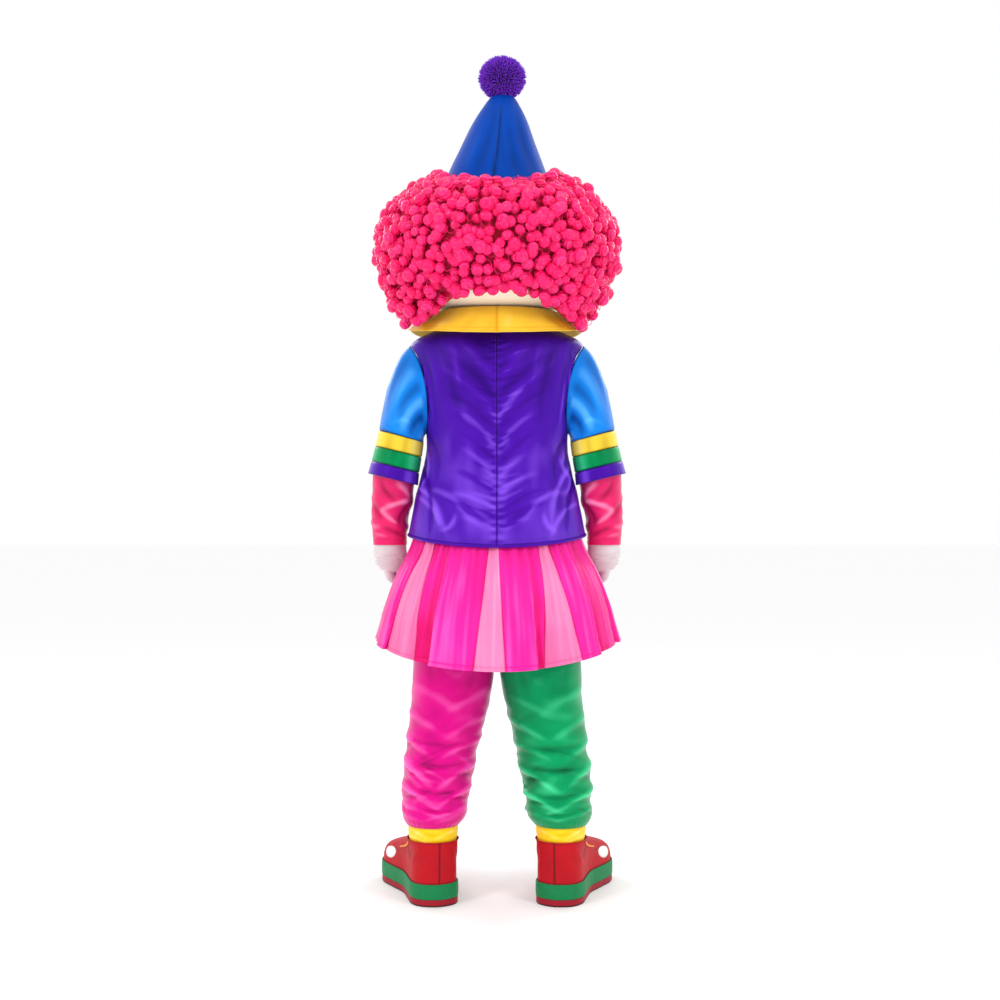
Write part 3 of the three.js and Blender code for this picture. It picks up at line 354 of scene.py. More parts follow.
HAT_ROWS = [  # height, half-width, lean
    (1735, 140, 0), (1770, 127, 0), (1809, 112, -1), (1856, 92, -4), (1907, 70, -8), (1945, 49, -11),
    (1975, 27, -13), (1977, 0, -13),
]
HAT_CREASES = [  # degrees from the centre back times 2, height; then size, width, bow
    (-46, 1775, -34, 1900, -2.2, 12, 3), (-14, 1790, -10, 1890, -1.6, 9, 2), (44, 1768, 22, 1930, -2.0, 13, -3),
    (70, 1780, 60, 1880, 1.8, 14, 0), (-92, 1770, -70, 1910, -2.0, 16, 2), (170, 1780, 150, 1900, -2.2, 16, 4),
    (-200, 1775, -180, 1890, -2.0, 18, 2), (300, 1770, 320, 1880, -2.2, 18, 0), (-310, 1780, -300, 1910, 1.8, 16, 0),
]
hat_satin = woven_satin("matt_blue_satin", "#003fa2", "#012560", "#075cd0", roughness=0.55, sheen=0.05)


def hat_surface(u, v):
    angle = math.radians(360 * u)
    from_back = round_from_back(360 * u)
    height, half_width, lean = read(HAT_ROWS, v)
    seam = bell(from_back - 3 + 6 * v, 0, 1.6) * half_width / 60
    fold = crease_depth(HAT_CREASES, 2 * from_back, height) + 1.2 * ripple(from_back * 2, height, 60, 110, 3.1)
    reach = max(half_width + (fold - 1.3 * seam) * ease(1.0, 0.8, v), 0)
    # Painted shade: the seam's groove and the creases' troughs are painted darker, and the creases' crests lighter as
    # highlight.
    return (lean + reach * math.cos(angle), reach * math.sin(angle), height), fold / 5 - 0.9 * seam


shape = bend_cloth(hat_surface, 112, 34, (0.88, 0.27), closed=True)
hat = add_piece("hat", shape, hat_satin, "hat_blue_satin", "hat_cone", wall=1.5)
seam = []
for k in range(40):
    # The stitches run 1.9 degrees beside the seam.
    v = mix(0.08, 0.82, k / 39)
    seam.append(hat_surface((90 - 3 + 6 * v - 1.9) / 360, v)[0])
hat_stitches = stitch_line("hat_seam_stitches", seam, polyester_thread("blue_polyester_thread", "#06348c", 0.5),
                           "hat_blue_satin")

# Pompom: a ball of purple plush pile with a drawn centre, sewn to the hat's tip.
# It is short cut fibre in tufts, so it looks soft; its colour is painted almost black deep between the tufts as shade
# and brighter at their tips as light.

POMPOM_CENTRE = (-13, 0, 2022)
POMPOM_RADIUS = 55
TUFTS = 2600
GOLDEN_TURN = 2.39996  # radians from one tuft to the next, which spreads them evenly over a ball
chance = random.Random(11)

pile, tree = new_material("cut_acrylic_pile")
# Painted shade and light: dark purple deep in the pile, brighter purple at the tufts' tips; each tuft's tone also
# differs at random.
tip = add_node(tree, "Attribute", attribute_name="tip").outputs["Fac"]
tuft_tone = add_node(tree, "Attribute", attribute_name="tone").outputs["Fac"]
put_out(tree, blend(tree, tuft_tone, blend(tree, tip, "#3c0870", "#8224d8"), "#5c18ac"), 0.8,
        more={"Sheen Weight": 0.12, "Sheen Roughness": 0.4, "Sheen Tint": linear("#9a6cf0")})

shape = bmesh.new()
pile_shade_layer = shape.verts.layers.float.new("tip")
tone_layer = shape.verts.layers.float.new("tone")
bmesh.ops.create_uvsphere(shape, u_segments=28, v_segments=18, radius=0.84 * POMPOM_RADIUS * MM)
for k in range(TUFTS):
    rise = 1 - 2 * (k + 0.5) / TUFTS
    turn = k * GOLDEN_TURN
    flat = math.sqrt(1 - rise * rise)
    out = Vector((flat * math.cos(turn), flat * math.sin(turn), rise))
    lean = Vector([chance.uniform(-1, 1) for _ in range(3)]) * 0.34
    lean.z -= 0.05
    height = POMPOM_RADIUS * chance.uniform(0.16, 0.27)
    matrix = (Matrix.Translation(out * POMPOM_RADIUS * 0.82 * MM)
              @ (out + lean).to_track_quat("Z", "Y").to_matrix().to_4x4()
              @ Matrix.Translation((0, 0, height / 2 * MM)))
    made = bmesh.ops.create_cone(shape, segments=4, radius1=1.9 * MM, radius2=0.7 * MM, depth=height * MM,
                                 cap_ends=True, matrix=matrix)["verts"]
    tone = chance.uniform(0, 0.7)
    for vert in made:
        vert[pile_shade_layer] = ease(0.82, 1.04, vert.co.length / (POMPOM_RADIUS * MM))
        vert[tone_layer] = tone
for vert in shape.verts:
    # The pile is drawn in a little along the line where its two halves meet at the back.
    x, y, z = vert.co
    draw = 1 - 0.05 * bell(x / (POMPOM_RADIUS * MM), 0.05, 0.09) * ease(0, 0.04, y)
    vert.co = Vector((x * 1.02, y * 1.02 * draw, z * 0.93)) + in_frame(POMPOM_CENTRE)
smooth(shape)
add_piece("pompom_pile", shape, pile, "pompom_purple_plush", "pompom")

# Wig: hot pink synthetic hair set in tight wound ringlets and sewn to a cap that follows the head
# shell. Each ringlet is a lock wound into a bulb, and thin ones stand off as small loose rings.

WIG_ROWS = [  # height, half-width, half-depth
    (1476, 224, 192), (1496, 246, 212), (1530, 264, 238), (1580, 279, 256), (1640, 277, 253), (1695, 250, 231),
    (1738, 208, 195), (1762, 166, 163), (1776, 144, 142),
]
WIG_EDGE = [  # degrees from the centre back, height of the lower edge: an arch, lobes, then the face
    (0, 1480), (24, 1476), (34, 1458), (44, 1436), (56, 1416), (67, 1410), (76, 1432), (84, 1484), (94, 1512),
    (104, 1534), (114, 1572), (124, 1640), (136, 1688), (180, 1690),
]
HEAD_ROWS = [
    (1428, 102, 82.4), (1450, 105.5, 87), (1462, 180, 150), (1490, 236, 200), (1540, 258, 226),
    (1600, 258, 230), (1660, 236, 214), (1705, 190, 176), (1735, 115, 108), (1745, 0, 0),
]
wig_edges = []  # by degree: the place on WIG_ROWS and how far the lower edge hangs below them
for degree in range(182):
    for (a, start), (b, end) in zip(WIG_EDGE, WIG_EDGE[1:]):
        if a <= degree:
            edge = mix(start, end, ease(a, b, degree) * 0.5 + 0.5 * min((degree - a) / (b - a), 1))
    wig_edges.append((place_of(WIG_ROWS, max(edge, 1476)), max(1476 - edge, 0)))


def wig_surface(angle, rise, inset=0):
    """A point of the wig at an angle in degrees from +X and a share of its rise."""
    from_back = abs((angle + 90) % 360 - 180)
    degree = int(from_back)
    place, hang = (mix(a, b, from_back - degree) for a, b in zip(wig_edges[degree], wig_edges[degree + 1]))
    height, half_width, half_depth = read(WIG_ROWS, mix(place, 1, rise))
    turn = math.radians(angle)
    # The crown dips behind the hat, and most at the parting on the centre back.
    dip = (46 * max(math.sin(turn), 0) ** 1.3 + 10 * bell(from_back, 0, 9)) * ease(0.5, 1, rise)
    return Vector(((half_width - inset) * math.cos(turn), (half_depth - inset) * math.sin(turn),
                   height - hang * (1 - rise) ** 2 - dip))


def wig_outward(angle, rise):
    across = wig_surface(angle + 1, rise) - wig_surface(angle - 1, rise)
    up = wig_surface(angle, min(rise + 0.02, 1)) - wig_surface(angle, max(rise - 0.02, 0))
    return across.cross(up).normalized()


LOCK_TURNS = 4.6  # times that a lock is wound round itself
hair, tree = new_material("curled_synthetic_hair")
along = add_node(tree, "Attribute", attribute_name="along").outputs["Fac"]
lock_tone = add_node(tree, "Attribute", attribute_name="tone").outputs["Fac"]
wound = add_node(tree, "Math", operation="MULTIPLY")
wound.inputs[1].default_value = 6.283 * LOCK_TURNS
tree.links.new(along, wound.inputs[0])
shifted = add_node(tree, "Math", operation="MULTIPLY_ADD")
shifted.inputs[1].default_value = 5.5
tree.links.new(noise_at(tree, 75, 1), shifted.inputs[0])
tree.links.new(wound.outputs[0], shifted.inputs[2])
coil = add_node(tree, "Math", operation="SINE")
tree.links.new(shifted.outputs[0], coil.inputs[0])
turn_crest = add_node(tree, "MapRange", {"Value": coil, "From Min": -1.0, "From Max": 0.6})
strand_height = add_node(tree, "Mix", {
    "Factor": 0.25, "A": turn_crest, "B": noise_at(tree, 520, 2)})
# Painted shade and light: a lock is painted dark red at its root, where the pits between locks lie in shade, dark in
# the grooves of its turns and bright on their crests, and lighter pink towards its tip as highlight.
root_shade_fade = add_node(tree, "MapRange", {"Value": along, "From Min": 0.1, "From Max": 0.55})
tip_highlight = add_node(tree, "MapRange", {
    "Value": along, "From Min": 0.6, "From Max": 1.0, "To Max": 0.3})
root_shaded = blend(tree, root_shade_fade, "#a80028", blend(tree, turn_crest, "#c4003c", "#ff2a80"))
put_out(tree, blend(tree, lock_tone, blend(tree, tip_highlight, root_shaded, "#ff4c98"), "#f00c5a"), 0.27,
        (strand_height, 0.6, 0.0017), {"Specular Tint": linear("#ffa0cc")})


def spread_roots(count, apart, low=0.0, high=1.0):
    """Places on the wig about apart mm from each other: (angle, rise) pairs."""
    cells = {}
    kept = []
    for _ in range(count):
        angle, rise = chance.uniform(0, 360), chance.uniform(low, high)
        spot = wig_surface(angle, rise)
        cell = tuple(int(c // apart) for c in spot)
        near = [other for i in (-1, 0, 1) for j in (-1, 0, 1) for k in (-1, 0, 1)
                for other in cells.get((cell[0] + i, cell[1] + j, cell[2] + k), ())]
        if all((spot - other).length > apart for other in near):
            cells.setdefault(cell, []).append(spot)
            kept.append((angle, rise))
    return kept


def lock_place(angle, rise, out_by, lean, droop):
    """Where a lock is sewn and which way it stands: its foot is out_by mm outside the wig."""
    out = wig_outward(angle, rise)
    direction = out + Vector([chance.uniform(-1, 1) for _ in range(3)]) * lean
    direction.z -= droop
    foot = wig_surface(angle, rise) + out * out_by
    return (Matrix.Translation(in_frame(foot)) @ direction.to_track_quat("Z", "Y").to_matrix().to_4x4()
            @ Matrix.Rotation(chance.uniform(0, 6.28), 4, "Z"))


def join_to(whole, shape):
    """Moves a shape into the whole. Shapes are made a few at a time, because bmesh slows as one grows."""
    carried = bpy.data.meshes.new("carried")
    shape.to_mesh(carried)
    shape.free()
    whole.from_mesh(carried)
    bpy.data.meshes.remove(carried)


def new_locks():
    shape = bmesh.new()
    return shape, shape.verts.layers.float.new("along"), shape.verts.layers.float.new("tone")


def wound_locks(name, roots, out_by, sizes):
    """Locks wound into bulbs: each is widest past its middle and sunk at its tip, and its turns
    are in the material."""
    whole = new_locks()[0]
    for first in range(0, len(roots), 40):
        shape, along_layer, tone_layer = new_locks()
        for angle, rise in roots[first:first + 40]:
            radius = chance.uniform(*sizes)
            length = radius * chance.uniform(1.9, 2.6)
            bend = radius * chance.uniform(-0.35, 0.35)
            tone = chance.uniform(0, 0.75)
            matrix = lock_place(angle, rise, out_by * chance.uniform(0.6, 1.3), 0.5, 0.25)
            for vert in bmesh.ops.create_uvsphere(shape, u_segments=9, v_segments=7, radius=1)["verts"]:
                share = (vert.co.z + 1) / 2
                vert[along_layer] = share
                vert[tone_layer] = tone
                full = radius * mix(0.74, 1.08, share)
                vert.co = matrix @ (Vector((full * vert.co.x + bend * share * share, full * vert.co.y,
                                            length * (share - 0.06 * ease(0.9, 1.0, share)))) * MM)
        bmesh.ops.recalc_face_normals(shape, faces=shape.faces)
        join_to(whole, shape)
    smooth(whole)
    return add_piece(name, whole, hair, "wig_pink_curls")


def loose_rings(name, roots, out_by, sizes, strand):
    """Thin locks that stand off the others as open rings."""
    whole = new_locks()[0]
    for first in range(0, len(roots), 40):
        shape, along_layer, tone_layer = new_locks()
        for angle, rise in roots[first:first + 40]:
            before = len(shape.verts)
            radius = chance.uniform(*sizes)
            matrix = lock_place(angle, rise, out_by * chance.uniform(0.4, 1.4), 1.2, 0.0)
            ring = bmesh.ops.create_circle(shape, segments=4, radius=strand * MM, matrix=(
                Matrix.Translation((radius * MM, 0, 0)) @ Matrix.Rotation(math.radians(90), 4, "X")))["verts"]
            edges = list({edge for vert in ring for edge in vert.link_edges})
            bmesh.ops.spin(shape, geom=ring + edges, cent=(0, 0, 0), axis=(0, 0, 1), dvec=(0, 0, 0.5 * MM),
                           angle=math.radians(330), steps=11, use_duplicate=False)
            shape.verts.ensure_lookup_table()
            tone = chance.uniform(0, 0.75)
            for vert in shape.verts[before:]:
                vert[along_layer] = 0.9
                vert[tone_layer] = tone
                vert.co = matrix @ vert.co
        bmesh.ops.holes_fill(shape, edges=[edge for edge in shape.edges if edge.is_boundary], sides=4)
        bmesh.ops.recalc_face_normals(shape, faces=shape.faces)
        join_to(whole, shape)
    smooth(whole)
    return add_piece(name, whole, hair, "wig_pink_curls")


wound_locks("wig_curls_under", spread_roots(12000, 20.5), -14, (13, 17))
wound_locks("wig_curls_outer", spread_roots(7000, 25.5), -9, (13, 19))
loose_rings("wig_loose_rings", spread_roots(5200, 16.5), 9, (9, 14), 0.75)


def wig_cap_surface(u, v):
    """The cap under the curls, from the head's side of the lower edge to under the hat."""
    angle = 360 * u
    if v < 0.12:
        edge = wig_surface(angle, 0, 12)
        height, half_width, half_depth = read(HEAD_ROWS, place_of(HEAD_ROWS, max(edge.z, 1466)))
        turn = math.radians(angle)
        inner = Vector(((half_width + 1) * math.cos(turn), (half_depth + 1) * math.sin(turn), edge.z + 4))
        inner.x, inner.y = (min(abs(a), abs(b) - 2) * (1 if a > 0 else -1) for a, b in zip(inner.xy, edge.xy))
        spot = inner.lerp(edge, v / 0.12)
    else:
        rise = (v - 0.12) / 0.88
        spot = wig_surface(angle, rise, 12 + 16 * ease(0.6, 1, rise))
        height, half_width, half_depth = read(HEAD_ROWS, place_of(HEAD_ROWS, min(max(spot.z, 1466), 1700)))
        away = Vector((spot.x / (half_width + 3), spot.y / (half_depth + 3)))
        if away.length < 1 and spot.z < 1690:
            spot.x, spot.y = spot.x / away.length, spot.y / away.length
    bump = 2.5 * ripple(6 * angle, 9 * spot.z, 60, 60, 9.0)
    return (spot.x + bump * math.cos(math.radians(angle)), spot.y, spot.z + bump), 0.0


cap_knit, tree = new_material("knitted_wig_cap")
loops = noise_at(tree, 210, 3)
put_out(tree, blend(tree, loops, "#a80030", "#d2003f"), 0.8, (loops, 0.7, 0.002))
add_piece("wig_cap", bend_cloth(wig_cap_surface, 90, 26, (1.7, 0.4), closed=True), cap_knit,
          "wig_pink_curls", "wig", wall=1.5)

# Head: an oversized moulded shell with a fine flocked face, held on the wearer's shoulders by its
# neck. The eye openings are cut through it, with black mesh glued behind; the nose is a smooth ball.

flock, tree = new_material("flocked_abs_shell")
put_out(tree, blend(tree, noise_at(tree, 6, 2), "#e6ddcf", "#f3eee6"), 0.72,
        (noise_at(tree, 900, 2), 0.25, 0.0003), {"Sheen Weight": 0.25, "Sheen Roughness": 0.4})
SIDES = ((1, "left"), (-1, "right"))  # the wearer's
EYE_X, EYE_HEIGHT = 78, 1612
EYE_HALF_WIDTH, EYE_HALF_HEIGHT = 34, 42


def head_point(x, height, out=0.0):
    """The face's surface, in mm, at an x and a height, moved out by that much."""
    _, half_width, half_depth = read(HEAD_ROWS, place_of(HEAD_ROWS, height))
    return Vector((x, -half_depth * math.sqrt(max(1 - (x / half_width) ** 2, 0)) - out, height))


def head_surface(u, v):
    height, half_width, half_depth = read(HEAD_ROWS, v)
    turn = math.radians(360 * u)
    x, y = max(half_width, 0) * math.cos(turn), max(half_depth, 0) * math.sin(turn)
    # The moulding rises softly round each eye opening and is a little full at the cheeks.
    if y < 0:
        for side in (1, -1):
            away = math.hypot((x - side * EYE_X) / EYE_HALF_WIDTH, (height - EYE_HEIGHT) / EYE_HALF_HEIGHT)
            y -= 4.5 * bell(away, 1.22, 0.22)
            y -= 5 * bell(math.hypot(x - side * 92, height - 1535), 0, 42)
    return (x, y, height), 0.0


shape = bend_cloth(head_surface, 104, 58, (1.6, 0.5), closed=True)
bmesh.ops.solidify(shape, geom=shape.faces[:], thickness=2.6 * MM)
bmesh.ops.recalc_face_normals(shape, faces=shape.faces)
head = add_piece("head_moulding", shape, flock, "head_white_shell", "head_shell")
for side in (1, -1):
    cutter_shape = bmesh.new()
    bmesh.ops.create_cone(cutter_shape, segments=48, radius1=1, radius2=1, depth=0.3, cap_ends=True,
                          matrix=Matrix.Rotation(math.radians(90), 4, "X"))
    bmesh.ops.scale(cutter_shape, verts=cutter_shape.verts,
                    vec=(EYE_HALF_WIDTH * MM, 1, EYE_HALF_HEIGHT * MM))
    bmesh.ops.translate(cutter_shape, verts=cutter_shape.verts,
                        vec=(side * EYE_X * MM, -0.24, (EYE_HEIGHT - SHOULDER) * MM))
    cutter_mesh = bpy.data.meshes.new("eye_cutter")
    cutter_shape.to_mesh(cutter_mesh)
    cutter_shape.free()
    cutter = bpy.data.objects.new("eye_cutter", cutter_mesh)
    scene.collection.objects.link(cutter)
    opening = head.modifiers.new("eye_opening", "BOOLEAN")
    opening.operation = "DIFFERENCE"
    opening.object = cutter
    cut_mesh = bpy.data.meshes.new_from_object(head.evaluated_get(bpy.context.evaluated_depsgraph_get()))
    head.modifiers.clear()
    head.data = cut_mesh
    bpy.data.objects.remove(cutter)

black_mesh, tree = new_material("black_nylon_mesh")
holes = add_node(tree, "TexVoronoi", {
    "Vector": object_place(tree), "Scale": 620})
put_out(tree, blend(tree, holes.outputs["Distance"], "#050505", "#2a2626"), 0.85,
        (holes.outputs["Distance"], 0.6, 0.0006))


def bent_disc(segments, cuts, place):
    """A disc bent onto place(x, y), which takes -1 to 1 and gives a point in mm above the soles."""
    shape = bmesh.new()
    bmesh.ops.create_circle(shape, cap_ends=True, cap_tris=True, segments=segments, radius=1)
    bmesh.ops.subdivide_edges(shape, edges=shape.edges, cuts=cuts, use_grid_fill=True)
    for vert in shape.verts:
        vert.co = in_frame(place(vert.co.x, vert.co.y))
    smooth(shape)
    bmesh.ops.recalc_face_normals(shape, faces=shape.faces)
    return shape


for side, word in SIDES:
    shape = bent_disc(48, 3, lambda x, y: head_point(
        side * EYE_X + x * (EYE_HALF_WIDTH - 0.5), EYE_HEIGHT + y * (EYE_HALF_HEIGHT - 0.5), -1.2))
    add_piece(f"eye_mesh_{word}", shape, black_mesh, "eye_black_screen", f"eye_screen_{word}", wall=0.8)

ball_foam, tree = new_material("dipped_foam_ball")
put_out(tree, "#d81024", 0.35, (noise_at(tree, 260, 3), 0.12, 0.0006),
        {"Coat Weight": 0.25, "Coat Roughness": 0.2})
NOSE_CENTRE, NOSE_RADIUS, NOSE_SQUASH = (0, -248.5, 1556), 37, 0.96
shape = bmesh.new()
bmesh.ops.create_icosphere(shape, subdivisions=4, radius=NOSE_RADIUS * MM)
smooth(shape)
for vert in shape.verts:
    vert.co.z *= NOSE_SQUASH
    vert.co += in_frame(NOSE_CENTRE)
add_piece("nose_ball", shape, ball_foam, "nose_red", "nose")

# The mouth is a calm closed lip line, painted red on a slightly raised pad of the moulding.
lip_paint, tree = new_material("satin_enamel_paint")
put_out(tree, blend(tree, noise_at(tree, 40, 3), "#b50f22", "#d21c30"), 0.4)
MOUTH_HALF_WIDTH, MOUTH_HEIGHT = 52, 1503


def lip_surface(u, v):
    share, lip = mix(-1, 1, u), mix(-1, 1, v)
    half = 8.5 * math.sqrt(max(1 - share * share, 0)) + 0.6
    # Full in the middle, with a groove where the lips meet.
    out = 1.0 + 3.2 * (1 - lip * lip) * (1 - share ** 4) - 1.6 * bell(lip, 0.05, 0.16)
    return head_point(share * MOUTH_HALF_WIDTH, MOUTH_HEIGHT + 5 * share * share + half * lip, out), 0.0


shape = bend_cloth(lip_surface, 48, 14, (0.1, 0.02))
bmesh.ops.recalc_face_normals(shape, faces=shape.faces)
add_piece("painted_mouth", shape, lip_paint, "nose_red", wall=0.8)

# Vest: heavy purple satin in four panels, seamed at the sides and up the centre back. The seam
# gathers the cloth into short puckers, soft folds run down to it, and a corded binding ends the hem.

TORSO_ROWS = [  # height, half-width, half-depth
    (904, 217, 160), (956, 207, 154), (1005, 196, 145), (1056, 184, 137), (1110, 173, 131),
    (1165, 176, 129), (1225, 188, 128), (1285, 198, 126), (1335, 206, 120), (1368, 209, 108),
    (1393, 168, 98), (1412, 106.5, 86.5),
]
ARMHOLE_HEIGHT, ARMHOLE_HALF_HEIGHT, ARMHOLE_HALF_DEPTH = 1256, 108, 60
VEST_MM_PER_DEGREE = 2.9  # of girth on a mean body, so that folds keep their width
# Across is mm from the centre back, positive to the wearer's left, then height; to across and
# height; then size, width and bow.
VEST_CREASES = [
    # soft folds that run down and in to the centre-back seam
    (8, 1270, 70, 1372, 1.7, 8, -5), (-8, 1262, -64, 1375, 1.6, 8, 5), (6, 1232, 96, 1330, -1.6, 9, -8),
    (-6, 1226, -90, 1318, -1.5, 9, 8), (8, 1196, 112, 1292, 2.3, 9, -10), (-8, 1188, -108, 1300, 2.1, 9, 10),
    (6, 1160, 104, 1232, -1.7, 8, -8), (-6, 1158, -98, 1240, -1.6, 8, 8), (8, 1118, 100, 1200, 2.4, 9, -10),
    (-8, 1112, -92, 1196, 2.2, 8, 10), (6, 1080, 76, 1136, -1.5, 7, -6), (-8, 1072, -84, 1140, -1.6, 7, 6),
    (8, 1040, 70, 1102, 1.8, 7, -6), (-6, 1036, -60, 1090, 1.5, 7, 5), (8, 1006, 84, 1050, -1.6, 7, -6),
    (-8, 1000, -80, 1046, 1.8, 7, 6), (8, 966, 96, 1000, 1.8, 7, -8), (-8, 960, -100, 1004, -1.6, 7, 8),
    # long folds that hang from the shoulders
    (118, 1350, 92, 1190, -1.8, 12, 6), (-122, 1345, -98, 1180, -1.8, 11, -6), (150, 1340, 140, 1240, 1.6, 9, 4),
    (-150, 1345, -138, 1230, 1.5, 9, -4), (88, 1362, 78, 1260, 1.3, 9, 0), (-84, 1360, -72, 1270, 1.3, 9, 0),
    # small loops beside the armholes
    (176, 1312, 186, 1252, 3.4, 3, 4), (186, 1252, 196, 1296, 3.0, 3, -3), (196, 1296, 190, 1190, -3.0, 5, 3),
    (-178, 1306, -188, 1250, 3.4, 3, -4), (-188, 1250, -198, 1290, 3.0, 3, 3), (-198, 1290, -192, 1190, -3.0, 5, -3),
    (-176, 1340, -190, 1300, 2.4, 3, 0), (166, 1290, 172, 1180, 2.0, 5, 3), (-164, 1280, -170, 1180, 2.2, 5, -3),
    # swoops into the lower corners
    (214, 1096, 188, 1040, 3, 6, 8), (188, 1040, 206, 1012, 2.6, 6, -4), (206, 1012, 118, 930, 3.6, 7, 20),
    (226, 1060, 140, 916, -3.6, 7, 26), (196, 990, 104, 914, 3, 6, 14), (104, 914, 84, 946, 2.6, 6, -6),
    (-196, 1100, -172, 1076, 2.8, 6, 4), (-172, 1076, -204, 1040, 3, 6, -5), (-204, 1040, -160, 1000, 2.6, 6, 6),
    (-214, 1064, -112, 940, 3.3, 7, -24), (-228, 1030, -150, 926, -3.8, 7, -16), (-200, 976, -112, 912, 3, 6, -14),
    (-112, 912, -96, 952, 2.5, 6, 6), (208, 1140, 150, 1040, -2.6, 8, 18), (-206, 1130, -140, 1030, -2.6, 8, -18),
    (150, 1010, 60, 950, 2.2, 7, 12), (-140, 1004, -60, 950, 2.2, 7, -12), (90, 980, 20, 926, -2, 7, 6),
    (-86, 976, -20, 926, -1.8, 7, -6), (60, 944, 12, 912, 1.5, 7, 3), (-56, 942, -10, 912, 1.3, 7, -3),
    # the front: folds from the shoulders and swoops at the hem
    (430, 1330, 400, 1120, 3.6, 13, 8), (-430, 1330, -396, 1110, 3.4, 13, -8), (380, 1300, 360, 1060, -3.2, 13, 6),
    (-384, 1290, -356, 1050, -3.2, 14, -6), (300, 1100, 380, 930, 4.2, 12, -16), (-296, 1096, -376, 930, 4.0, 12, 16),
    (340, 1160, 440, 1010, -3.2, 13, -12), (-336, 1150, -440, 1000, -3.2, 13, 12), (270, 1010, 300, 920, 3.0, 10, 0),
    (-272, 1016, -306, 920, 3.0, 10, 0), (460, 1200, 420, 950, 2.6, 12, 8), (-462, 1190, -424, 950, 2.6, 12, -8),
]


height = 918
while height < 1352:
    # Puckers where the seam draws the cloth in: one on each side, every few centimetres.
    for way in (1, -1):
        reach, slope = chance.uniform(20, 58), chance.uniform(0.25, 0.65)
        start = height + chance.uniform(-6, 6)
        VEST_CREASES.append((3 * way, start, way * reach, start + slope * reach,
                             chance.uniform(1.0, 1.9) * chance.choice((1, -1)), chance.uniform(2.4, 4.0), 0))
    height += chance.uniform(15, 26)


def torso_surface(angle, place, crisp=True):
    """The vest's outside at an angle in degrees from +X and a share of its height."""
    turn = math.radians(angle)
    from_back = round_from_back(angle)
    height, half_width, half_depth = read(TORSO_ROWS, place)
    height -= 24 * max(math.sin(turn), 0) ** 1.5 * (1 - place) ** 6
    across = from_back * VEST_MM_PER_DEGREE
    fold = crease_depth(VEST_CREASES, across, height)
    fold += 1.6 * ripple(across, height, 70, 120, 5.0) + 0.7 * ripple(across, height, 26, 60, 6.0)
    fold *= ease(1.0, 0.96, place) * mix(0.55, 1, ease(0, 0.03, place))
    if crisp:
        # The centre-back seam: a sunk line, with short uneven puckers that fade to each side.
        from_seam = abs(across)
        pucker = math.sin(height / 2.9 + 2.4 * ripple(0, height, 30, 30, 8.0 if across > 0 else 9.0))
        fold += 0.9 * pucker * bell(from_seam, 5, 9) * ease(1.0, 0.92, place)
        fold -= 1.5 * bell(from_seam, 0, 1.5)
        # Side seams and the front edges turn under.
        fold -= 1.6 * bell(180 - abs(from_back), 0, 1.0) + 1.4 * bell(abs(from_back), 90, 0.9)
    x = (half_width + fold) * math.cos(turn)
    y = (half_depth + fold) * math.sin(turn)
    # The shoulders slope out of the light from the sides, and the skirt holds the hem out into it, so painted shade
    # darkens the cloth towards the shoulders and painted light brightens it towards the hem.
    return (x, y, height), fold / 4.2 + mix(0.2, -0.5, ease(1060, 1350, height))


def armhole_angle(height, half_depth):
    """How far round from the side seam the armhole reaches at a height, in degrees."""
    share = 1 - ((height - ARMHOLE_HEIGHT) / ARMHOLE_HALF_HEIGHT) ** 2
    if share <= 0:
        return 0
    return math.degrees(math.asin(ARMHOLE_HALF_DEPTH * math.sqrt(share) / half_depth))


vest_satin = woven_satin("heavy_purple_satin", "#4610a0", "#28056a", "#8a54ea", roughness=0.32, sheen=0.15)
VEST_PANELS = [  # name, angle at the side seam, angle at the other edge, steps across and up
    ("back_left", 0, 90, 66, 160), ("back_right", 180, 90, 66, 160),
    ("front_left", 360, 270, 36, 96), ("front_right", 180, 270, 36, 96),
]


def vest_panel_surface(side_angle, other_angle):
    def surface(u, v):
        height, _, half_depth = read(TORSO_ROWS, v)
        share = u if other_angle > side_angle else 1 - u
        # Steps are closer together near both seams.
        share = 0.65 * share + 0.35 * (0.5 - 0.5 * math.cos(math.pi * share))
        start = side_angle + math.copysign(armhole_angle(height, half_depth), other_angle - side_angle)
        return torso_surface(mix(start, other_angle, share), v)
    return surface


purple_thread = polyester_thread("purple_polyester_thread", "#2a0a70")


def hem_stitches(name, place, angles, surface, material, slot, count, raised=0.3):
    """A row of stitches round a surface at one place up it, between two angles."""
    points = []
    for k in range(count + 1):
        angle = mix(angles[0], angles[1], k / count)
        (x, y, z), _ = surface(angle, place)
        out = Vector((x, y, 0)).normalized() * raised
        points.append((x + out.x, y + out.y, z))
    return stitch_line(name, points, material, slot)


for name, side_angle, other_angle, across, up in VEST_PANELS:
    shape = bend_cloth(vest_panel_surface(side_angle, other_angle), across, up, (0.30, 0.53))
    bmesh.ops.recalc_face_normals(shape, faces=shape.faces)
    # An open panel's normals are all one way: here they have to point away from the body.
    shape.faces.ensure_lookup_table()
    middle = shape.faces[len(shape.faces) // 2]
    if middle.normal.dot(middle.calc_center_median() * Vector((1, 1, 0))) < 0:
        bmesh.ops.reverse_faces(shape, faces=shape.faces)
    panel = add_piece(f"vest_panel_{name}", shape, vest_satin, "vest_purple_satin", f"vest_{name}", wall=1.8)
    low, high = sorted((side_angle, other_angle))
    extras = [hem_stitches(f"vest_hem_stitches_{name}", 0.021, (low + 0.3, high - 0.3), torso_surface,
                           purple_thread, "vest_purple_satin", 90)]
    if name.startswith("back"):
        seam = [torso_surface(other_angle + (0.75 if side_angle > 90 else -0.75), mix(0.01, 0.97, k / 120))[0]
                for k in range(121)]
        extras.append(stitch_line(f"vest_seam_stitches_{name}", seam, purple_thread, "vest_purple_satin"))

# The hem's binding is a bias strip of the same satin rolled over a cord.


